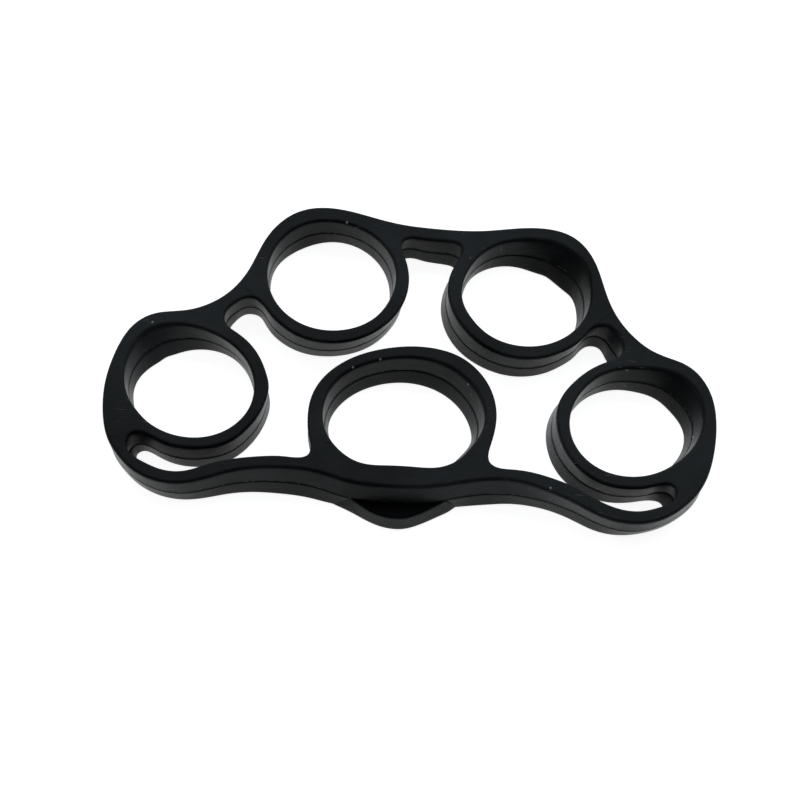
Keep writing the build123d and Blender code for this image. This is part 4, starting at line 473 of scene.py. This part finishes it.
def section_rows():
    """(height, inset, flash) of each row from the underside to the upper face."""
    r = EDGE_R
    rows = [(0.0, r + 0.16, 0.0)]
    k = 6
    for i in range(k + 1):
        a = math.pi / 2 * (1 - i / k)
        rows.append((r - r * math.sin(a), r * (1 - math.cos(a)), 0.0))
    for z in (1.1, 1.7, 2.3, 2.9, 3.3):
        rows.append((z, 0.0, 0.0))
    rows += [(3.38, 0.01, 0.0), (3.45, 0.18, 0.0), (3.56, 0.24, 0.0), (3.67, 0.20, 0.0), (3.72, 0.02, 0.5), (3.76, 0.0, 1.0), (3.81, 0.0, 0.9), (3.86, 0.0, 0.2)]
    for z in (3.93, 4.2, 4.7, 5.3, 5.9, 6.4):
        rows.append((z, 0.0, 0.0))
    for i in range(k + 1):
        a = math.pi / 2 * i / k
        rows.append((THICK - r + r * math.sin(a), r * (1 - math.cos(a)), 0.0))
    rows.append((THICK, r + 0.16, 0.0))
    return rows


ROWS = section_rows()


def run(name, start, end, forward):
    """Points of one outline between two cuts, for every row: rows x n x 2."""
    u0 = [crossing(name, start, k) for k in range(3)]
    u1 = [crossing(name, end, k) for k in range(3)]
    for k in range(3):
        if forward and u1[k] < u0[k]:
            u1[k] += 1
        if not forward and u1[k] > u0[k]:
            u1[k] -= 1
    count = max(6, int(abs(u1[2] - u0[2]) * LENGTH[name] / STEP))
    s = np.linspace(0, 1, count + 1)
    us = [u0[k] + s * (u1[k] - u0[k]) for k in range(3)]
    out = OUTLINE[name][4]
    pts = [CURVE[name][k].at(us[k]) for k in range(3)]
    nrm = [CURVE[name][k].normal(us[k]) * out for k in range(3)]
    pts[2] = pts[2] + nrm[2] * TOP_OUT
    pts[0] = pts[0] + nrm[0] * BASE_OUT
    rag = ragged(name, us[1])[:, None]
    rows = []
    for z, inset, flash in ROWS:
        if z <= PARTING:
            t = z / PARTING
            p = pts[0] * (1 - t) + pts[1] * t
            n = nrm[0] * (1 - t) + nrm[1] * t
        else:
            t = (z - PARTING) / (THICK - PARTING)
            p = pts[1] * (1 - t) + pts[2] * t
            n = nrm[1] * (1 - t) + nrm[2] * t
        n = n / np.linalg.norm(n, axis=1, keepdims=True)
        rows.append(p - n * inset + n * FLASH * flash * rag)
    return np.array(rows)


def make_object(name, bm):
    me = bpy.data.meshes.new(name)
    bm.to_mesh(me)
    bm.free()
    ob = bpy.data.objects.new(name, me)
    bpy.context.scene.collection.objects.link(ob)
    return ob


def skin(name, segments):
    """Closed piece of the moulding between its cuts."""
    runs = [run(*s) for s in segments]
    parts, cut_marks = [], []
    for i, r in enumerate(runs):
        nxt = runs[(i + 1) % len(runs)]
        parts.append(r)
        cut_marks += [False] * (r.shape[1] - 1) + [True]
        m = 5
        t = (np.arange(1, m) / m)[None, :, None]
        parts.append(r[:, -1:, :] * (1 - t) + nxt[:, :1, :] * t)
        cut_marks += [True] * (m - 1)
    rows = np.concatenate(parts, axis=1)
    n = rows.shape[1]
    bm = bmesh.new()
    grid = [[bm.verts.new((x / 1000, y / 1000, ROWS[k][0] / 1000)) for x, y in rows[k]] for k in range(len(ROWS))]
    for k in range(len(ROWS) - 1):
        for i in range(n):
            j = (i + 1) % n
            f = bm.faces.new((grid[k][i], grid[k][j], grid[k + 1][j], grid[k + 1][i]))
            f.smooth = not cut_marks[i]
    low = bm.faces.new(list(reversed(grid[0])))
    high = bm.faces.new(grid[-1])
    low.smooth = high.smooth = True
    bm.normal_update()
    bmesh.ops.triangulate(bm, faces=[low, high], ngon_method="BEAUTY")
    for e in bm.edges:
        if len(e.link_faces) == 2 and e.link_faces[0].smooth != e.link_faces[1].smooth:
            e.smooth = False
    return make_object(name, bm)


PIECES = {
    "palm_bridge_skin": ("palm", ["palm_bridge"], [("OUTER", "C1L", "C1R", True), ("INNER", "C1R", "ATa", False), ("THUMB", "ATa", "ATb", False), ("INNER", "ATb", "C1L", False)]),
    "strap_left_skin": (None, ["strap_left"], [("OUTER", "C2L", "C1L", True), ("INNER", "C1L", "C2L", False)]),
    "strap_right_skin": (None, ["strap_right"], [("OUTER", "C1R", "C2R", True), ("INNER", "C2R", "C1R", False)]),
    "outer_left_skin": ("outer_left", ["end_loop_left", "outer_band_1"], [("OUTER", "C4L", "C2L", True), ("INNER", "C2L", "A1a", False), ("HOLE_1", "A1a", "A1b", False), ("INNER", "A1b", "C4L", False)]),
    "outer_right_skin": ("outer_right", ["end_loop_right", "outer_band_4"], [("OUTER", "C2R", "C4R", True), ("INNER", "C4R", "A4a", False), ("HOLE_4", "A4a", "A4b", False), ("INNER", "A4b", "C2R", False)]),
    "web_left_skin": (None, ["web_left"], [("OUTER", "C5L", "C4L", True), ("INNER", "C4L", "C5L", False)]),
    "web_right_skin": (None, ["web_right"], [("OUTER", "C4R", "C5R", True), ("INNER", "C5R", "C4R", False)]),
    "inner_left_skin": ("inner_left", ["outer_band_2", "web_centre_left"], [("OUTER", "C7L", "C5L", True), ("INNER", "C5L", "A2a", False), ("HOLE_2", "A2a", "A2b", False), ("INNER", "A2b", "C7L", False)]),
    "inner_right_skin": ("inner_right", ["outer_band_3", "web_centre_right"], [("OUTER", "C5R", "C7R", True), ("INNER", "C7R", "A3a", False), ("HOLE_3", "A3a", "A3b", False), ("INNER", "A3b", "C5R", False)]),
    "finger_ring_1_skin": (None, ["finger_ring_1"], [("INNER", "A1a", "A1b", False), ("HOLE_1", "A1b", "A1a", False)]),
    "finger_ring_2_skin": (None, ["finger_ring_2"], [("INNER", "A2a", "A2b", False), ("HOLE_2", "A2b", "A2a", False)]),
    "finger_ring_3_skin": (None, ["finger_ring_3"], [("INNER", "A3a", "A3b", False), ("HOLE_3", "A3b", "A3a", False)]),
    "finger_ring_4_skin": (None, ["finger_ring_4"], [("INNER", "A4a", "A4b", False), ("HOLE_4", "A4b", "A4a", False)]),
    "thumb_ring_skin": (None, ["thumb_ring"], [("INNER", "ATa", "ATb", False), ("THUMB", "ATb", "ATa", False)]),
}
made = {name: skin(name, spec[2]) for name, spec in PIECES.items()}


def lip_piece():
    """Half-height thumb-rest lip; its back is buried in the palm bridge."""
    def front(points, n=70):
        p = np.array(points)
        d = np.r_[0, np.cumsum(np.linalg.norm(np.diff(p, axis=0), axis=1))]
        d /= d[-1]
        # natural cubic through the points
        m = len(p)
        a = np.zeros((m, m)); rhs = np.zeros((m, 2)); h = np.diff(d)
        a[0, 0] = a[-1, -1] = 1
        for i in range(1, m - 1):
            a[i, i - 1], a[i, i], a[i, i + 1] = h[i - 1], 2 * (h[i - 1] + h[i]), h[i]
            rhs[i] = 6 * ((p[i + 1] - p[i]) / h[i] - (p[i] - p[i - 1]) / h[i - 1])
        s = np.linalg.solve(a, rhs)
        t = np.linspace(0, 1, n)
        i = np.clip(np.searchsorted(d, t, side="right") - 1, 0, m - 2)
        hh, lo, hi = h[i][:, None], (t - d[i])[:, None], (d[i + 1] - t)[:, None]
        return (s[i] * hi ** 3 / (6 * hh) + s[i + 1] * lo ** 3 / (6 * hh)
                + (p[i] / hh - s[i] * hh / 6) * hi + (p[i + 1] / hh - s[i + 1] * hh / 6) * lo)
    base, top = front(LIP_BASE), front(LIP_TOP)
    tan = np.gradient(base, axis=0)
    tan /= np.linalg.norm(tan, axis=1, keepdims=True)
    nrm = np.stack([tan[:, 1], -tan[:, 0]], 1)
    hgt, rb, rt = PARTING - 0.02, 0.6, 0.38
    rows = [(0.0, rb + 0.15)]
    for i in range(6):
        a = math.pi / 2 * (1 - i / 5)
        rows.append((rb - rb * math.sin(a), rb * (1 - math.cos(a))))
    rows += [(1.2, 0), (1.9, 0), (2.6, 0), (3.1, 0)]
    for i in range(6):
        a = math.pi / 2 * i / 5
        rows.append((hgt - rt + rt * math.sin(a), rt * (1 - math.cos(a))))
    rows.append((hgt, rt + 0.15))
    bm = bmesh.new()
    grid = []
    for z, inset in rows:
        t = min(1, z / hgt)
        p = base * (1 - t) + top * t - nrm * inset
        back = np.array(LIP_BACK)
        mid = [back[0] * (1 - w) + back[1] * w for w in np.linspace(0, 1, 9)]
        loop = list(p) + mid
        grid.append([bm.verts.new((x / 1000, y / 1000, z / 1000)) for x, y in loop])
    n = len(grid[0])
    for k in range(len(rows) - 1):
        for i in range(n):
            j = (i + 1) % n
            f = bm.faces.new((grid[k][i], grid[k][j], grid[k + 1][j], grid[k + 1][i]))
            f.smooth = i < 69
    low = bm.faces.new(list(reversed(grid[0])))
    high = bm.faces.new(grid[-1])
    low.smooth = high.smooth = True
    bm.normal_update()
    bmesh.ops.triangulate(bm, faces=[low, high], ngon_method="BEAUTY")
    for e in bm.edges:
        if len(e.link_faces) == 2 and e.link_faces[0].smooth != e.link_faces[1].smooth:
            e.smooth = False
    return make_object("grip_lip_skin", bm)


made["grip_lip_skin"] = lip_piece()


# ------------------------------------------------------------------ what each piece rides on
for name, (body, nodes, _) in PIECES.items():
    if body:
        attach(made[name], body)
    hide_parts(*nodes)
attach(made["grip_lip_skin"], "palm")
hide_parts("grip_lip")


def arm_blend(name):
    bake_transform(made[name])


arm_blend("finger_ring_1_skin")
arm_blend("finger_ring_2_skin")
arm_blend("finger_ring_3_skin")
arm_blend("finger_ring_4_skin")
arm_blend("thumb_ring_skin")
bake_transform(made["strap_left_skin"])
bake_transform(made["strap_right_skin"])


def neck_blend(name, from_cut, to_cut):
    (px, py), (dx, dy) = CUT[from_cut]
    (qx, qy), (ex, ey) = CUT[to_cut]
    if dx * ex + dy * ey < 0:
        ex, ey = -ex, -ey
    sx, sy = dx + ex, dy + ey
    ln = math.hypot(sx, sy)
    nx, ny = sy / ln, -sx / ln
    gap = (qx - px) * nx + (qy - py) * ny
    if gap < 0:
        nx, ny, gap = -nx, -ny, -gap
    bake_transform(made[name])


neck_blend("web_left_skin", "C4L", "C5L")
neck_blend("web_right_skin", "C4R", "C5R")

# ------------------------------------------------------------------ material
def silicone(label="black_silicone", level=0.155, shade=1.0):
    mat = bpy.data.materials.new(label)
    mat.use_nodes = True
    nt = mat.node_tree
    nt.nodes.clear()
    out = nt.nodes.new("ShaderNodeOutputMaterial")
    bsdf = nt.nodes.new("ShaderNodeBsdfPrincipled")
    nt.links.new(bsdf.outputs["BSDF"], out.inputs["Surface"])
    geo = nt.nodes.new("ShaderNodeTexCoord")
    bsdf.inputs["IOR"].default_value = 1.43
    bsdf.inputs["Metallic"].default_value = 0.0
    bsdf.inputs["Specular IOR Level"].default_value = level
    bsdf.inputs["Sheen Weight"].default_value = 0.04
    bsdf.inputs["Sheen Roughness"].default_value = 0.45
    bsdf.inputs["Sheen Tint"].default_value = (0.86, 0.93, 1.0, 1.0)

    def noise(scale, detail=3.0, rough=0.5):
        n = nt.nodes.new("ShaderNodeTexNoise")
        n.inputs["Scale"].default_value = scale
        n.inputs["Detail"].default_value = detail
        n.inputs["Roughness"].default_value = rough
        nt.links.new(geo.outputs["Object"], n.inputs["Vector"])
        return n

    def ramp(source, stops):
        r = nt.nodes.new("ShaderNodeValToRGB")
        el = r.color_ramp.elements
        while len(el) > len(stops):
            el.remove(el[-1])
        while len(el) < len(stops):
            el.new(0.5)
        for e, (pos, col) in zip(el, stops):
            e.position = pos
            e.color = col
        nt.links.new(source, r.inputs["Fac"])
        return r

    # cloudy tone of the moulded rubber
    cloud = noise(46.0, 3.0, 0.55)
    tone = ramp(cloud.outputs["Fac"], [(0.36, (0.0015 * shade, 0.0020 * shade, 0.0024 * shade, 1)), (0.64, (0.0150 * shade, 0.0166 * shade, 0.0178 * shade, 1))])
    # small pale dust specks and thin scuffs
    cell = nt.nodes.new("ShaderNodeTexVoronoi")
    cell.feature = "F1"
    cell.inputs["Scale"].default_value = 260.0
    cell.inputs["Randomness"].default_value = 1.0
    nt.links.new(geo.outputs["Object"], cell.inputs["Vector"])
    spot = ramp(cell.outputs["Distance"], [(0.045, (1, 1, 1, 1)), (0.085, (0, 0, 0, 1))])
    patch = ramp(noise(150.0, 2.0, 0.6).outputs["Fac"], [(0.55, (0, 0, 0, 1)), (0.61, (1, 1, 1, 1))])
    both = nt.nodes.new("ShaderNodeMath")
    both.operation = "MULTIPLY"
    nt.links.new(spot.outputs["Color"], both.inputs[0])
    nt.links.new(patch.outputs["Color"], both.inputs[1])
    stretch = nt.nodes.new("ShaderNodeMapping")
    stretch.inputs["Rotation"].default_value = (0.3, 0.2, 0.9)
    stretch.inputs["Scale"].default_value = (1.0, 9.0, 1.0)
    nt.links.new(geo.outputs["Object"], stretch.inputs["Vector"])
    streak = nt.nodes.new("ShaderNodeTexNoise")
    streak.inputs["Scale"].default_value = 330.0
    streak.inputs["Detail"].default_value = 5.0
    nt.links.new(stretch.outputs["Vector"], streak.inputs["Vector"])
    thin = ramp(streak.outputs["Fac"], [(0.66, (0, 0, 0, 1)), (0.73, (0.55, 0.55, 0.55, 1))])
    worn = ramp(noise(38.0, 3.0, 0.6).outputs["Fac"], [(0.56, (0, 0, 0, 1)), (0.66, (1, 1, 1, 1))])
    scuff = nt.nodes.new("ShaderNodeMath")
    scuff.operation = "MULTIPLY"
    nt.links.new(thin.outputs["Color"], scuff.inputs[0])
    nt.links.new(worn.outputs["Color"], scuff.inputs[1])
    # painted highlight: a pale band at the height of the parting flash, broken up by noise, standing in for light
    # caught on the flash ridge
    axes = nt.nodes.new("ShaderNodeSeparateXYZ")
    nt.links.new(geo.outputs["Object"], axes.inputs[0])
    height = nt.nodes.new("ShaderNodeMapRange")
    height.inputs["From Min"].default_value = 0.0034
    height.inputs["From Max"].default_value = 0.0042
    nt.links.new(axes.outputs["Z"], height.inputs["Value"])
    edge = ramp(height.outputs["Result"], [(0.42, (0, 0, 0, 1)), (0.46, (1, 1, 1, 1)), (0.53, (1, 1, 1, 1)), (0.57, (0, 0, 0, 1))])
    highlight_breakup = ramp(noise(700.0, 4.0, 0.7).outputs["Fac"], [(0.54, (0, 0, 0, 1)), (0.66, (0.45, 0.45, 0.45, 1))])
    flash = nt.nodes.new("ShaderNodeMath")
    flash.operation = "MULTIPLY"
    nt.links.new(edge.outputs["Color"], flash.inputs[0])
    nt.links.new(highlight_breakup.outputs["Color"], flash.inputs[1])
    marks0 = nt.nodes.new("ShaderNodeMath")
    marks0.operation = "MAXIMUM"
    nt.links.new(both.outputs[0], marks0.inputs[0])
    nt.links.new(scuff.outputs[0], marks0.inputs[1])
    specks_scuffs_and_highlight = nt.nodes.new("ShaderNodeMath")
    specks_scuffs_and_highlight.operation = "MAXIMUM"
    nt.links.new(marks0.outputs[0], specks_scuffs_and_highlight.inputs[0])
    nt.links.new(flash.outputs[0], specks_scuffs_and_highlight.inputs[1])
    mix = nt.nodes.new("ShaderNodeMix")
    mix.data_type = "RGBA"
    mix_a, mix_b = [s for s in mix.inputs if s.type == "RGBA"]
    mix_out = [s for s in mix.outputs if s.type == "RGBA"][0]
    # pale colour shared by the dust specks, the scuffs and the painted highlight on the flash
    mix_b.default_value = (0.30, 0.32, 0.33, 1.0)
    nt.links.new(specks_scuffs_and_highlight.outputs[0], mix.inputs[0])
    nt.links.new(tone.outputs["Color"], mix_a)
    nt.links.new(mix_out, bsdf.inputs["Base Color"])

    # uneven satin finish
    rough = nt.nodes.new("ShaderNodeMapRange")
    rough.inputs["From Min"].default_value = 0.3
    rough.inputs["From Max"].default_value = 0.7
    rough.inputs["To Min"].default_value = 0.28
    rough.inputs["To Max"].default_value = 0.40
    nt.links.new(noise(120.0, 4.0, 0.6).outputs["Fac"], rough.inputs["Value"])
    nt.links.new(rough.outputs["Result"], bsdf.inputs["Roughness"])

    # fine moulded grain
    grain = noise(1500.0, 5.0, 0.7)
    wave = noise(240.0, 2.0, 0.5)
    b1 = nt.nodes.new("ShaderNodeBump")
    b1.inputs["Strength"].default_value = 0.6
    b1.inputs["Distance"].default_value = 0.00012
    nt.links.new(grain.outputs["Fac"], b1.inputs["Height"])
    b2 = nt.nodes.new("ShaderNodeBump")
    b2.inputs["Strength"].default_value = 0.45
    b2.inputs["Distance"].default_value = 0.00022
    nt.links.new(wave.outputs["Fac"], b2.inputs["Height"])
    nt.links.new(b1.outputs["Normal"], b2.inputs["Normal"])
    nt.links.new(b2.outputs["Normal"], bsdf.inputs["Normal"])
    return mat


rubber = silicone()
# painted shade: a darker copy of the rubber with weaker reflection, put on the lip's upper faces
painted_shade_lip_top = silicone("black_silicone_polished", 0.03, 0.15)
for ob in made.values():
    ob.data.materials.append(rubber)
lip_mesh = made["grip_lip_skin"].data
lip_mesh.materials.append(painted_shade_lip_top)
# the lip's upward-facing faces take the painted-shade copy of the rubber
for face in lip_mesh.polygons:
    if face.normal.z > 0.8:
        face.material_index = 1

# ------------------------------------------------------------------ set
scene = bpy.context.scene


def floor():
    bm = bmesh.new()
    s = 3.0
    vs = [bm.verts.new((x * s, y * s, 0)) for x, y in ((-1, -1), (1, -1), (1, 1), (-1, 1))]
    bm.faces.new(vs)
    ob = make_object("floor", bm)
    mat = bpy.data.materials.new("pale_floor")
    mat.use_nodes = True
    b = mat.node_tree.nodes["Principled BSDF"]
    b.inputs["Base Color"].default_value = (0.93, 0.93, 0.93, 1)
    b.inputs["Roughness"].default_value = 0.8
    b.inputs["Specular IOR Level"].default_value = 0.1
    b.inputs["Emission Color"].default_value = (1, 1, 1, 1)
    b.inputs["Emission Strength"].default_value = 0.90
    ob.data.materials.append(mat)
    ob.location = (0, 0, -0.00002)
    return ob


ground = floor()


def area(name, size, loc, target, power, color=(1, 1, 1)):
    data = bpy.data.lights.new(name, "AREA")
    data.shape = "RECTANGLE"
    data.size, data.size_y = size
    data.energy = power
    data.color = color
    ob = bpy.data.objects.new(name, data)
    bpy.context.scene.collection.objects.link(ob)
    ob.location = loc
    d = Vector(target) - Vector(loc)
    ob.rotation_euler = d.to_track_quat("-Z", "Y").to_euler()
    return ob


lights = [
    area("far_softbox", (3.0, 1.5), (0.10, 1.05, 0.95), (0, 0, 0), 14.5, (0.82, 0.93, 1.0)),
    area("top_softbox", (1.0, 0.8), (-0.05, -0.15, 1.10), (0, 0, 0), 0.65, (0.92, 0.97, 1.0)),
    area("left_softbox", (0.5, 0.5), (-1.1, 0.1, 0.55), (0, 0, 0), 0.8),
    area("right_softbox", (0.5, 0.5), (1.1, 0.2, 0.55), (0, 0, 0), 0.5),
]
world = bpy.data.worlds.new("studio")
scene.world = world
world.use_nodes = True
world.node_tree.nodes["Background"].inputs["Color"].default_value = (1, 1, 1, 1)
world.node_tree.nodes["Background"].inputs["Strength"].default_value = 0.035
scene.view_settings.view_transform = "Standard"


# ------------------------------------------------------------------ camera
def camera():
    az, el, roll = math.radians(-9), math.radians(55), math.radians(-3)
    dist, focal = 607.0, 3000.0
    fwd = Vector((math.sin(az) * math.cos(el), math.cos(az) * math.cos(el), -math.sin(el)))
    right = Vector((math.cos(az), -math.sin(az), 0))
    up = right.cross(fwd)
    r2 = math.cos(roll) * right + math.sin(roll) * up
    u2 = -math.sin(roll) * right + math.cos(roll) * up
    t0 = Vector((12.0 / focal * dist, 4.5 / focal * dist, dist))
    c0 = -(r2 * t0.x - u2 * t0.y + fwd * t0.z)
    turn = Matrix.Rotation(math.radians(0.6), 3, "Z")
    pos = turn @ (c0 - Vector((-0.05, -5.6, 0)))
    r3, u3, f3 = turn @ r2, turn @ u2, turn @ fwd
    origin = Vector((0.1, -12.31) + (0,))
    m = Matrix((r3, u3, -f3)).transposed().to_4x4()
    m.translation = (pos + origin) / 1000
    data = bpy.data.cameras.new("camera")
    data.sensor_width = 36.0
    data.sensor_fit = "HORIZONTAL"
    data.lens = focal * 36.0 / 800.0
    data.clip_start, data.clip_end = 0.01, 20
    ob = bpy.data.objects.new("camera", data)
    scene.collection.objects.link(ob)
    ob.matrix_world = m
    scene.camera = ob


camera()
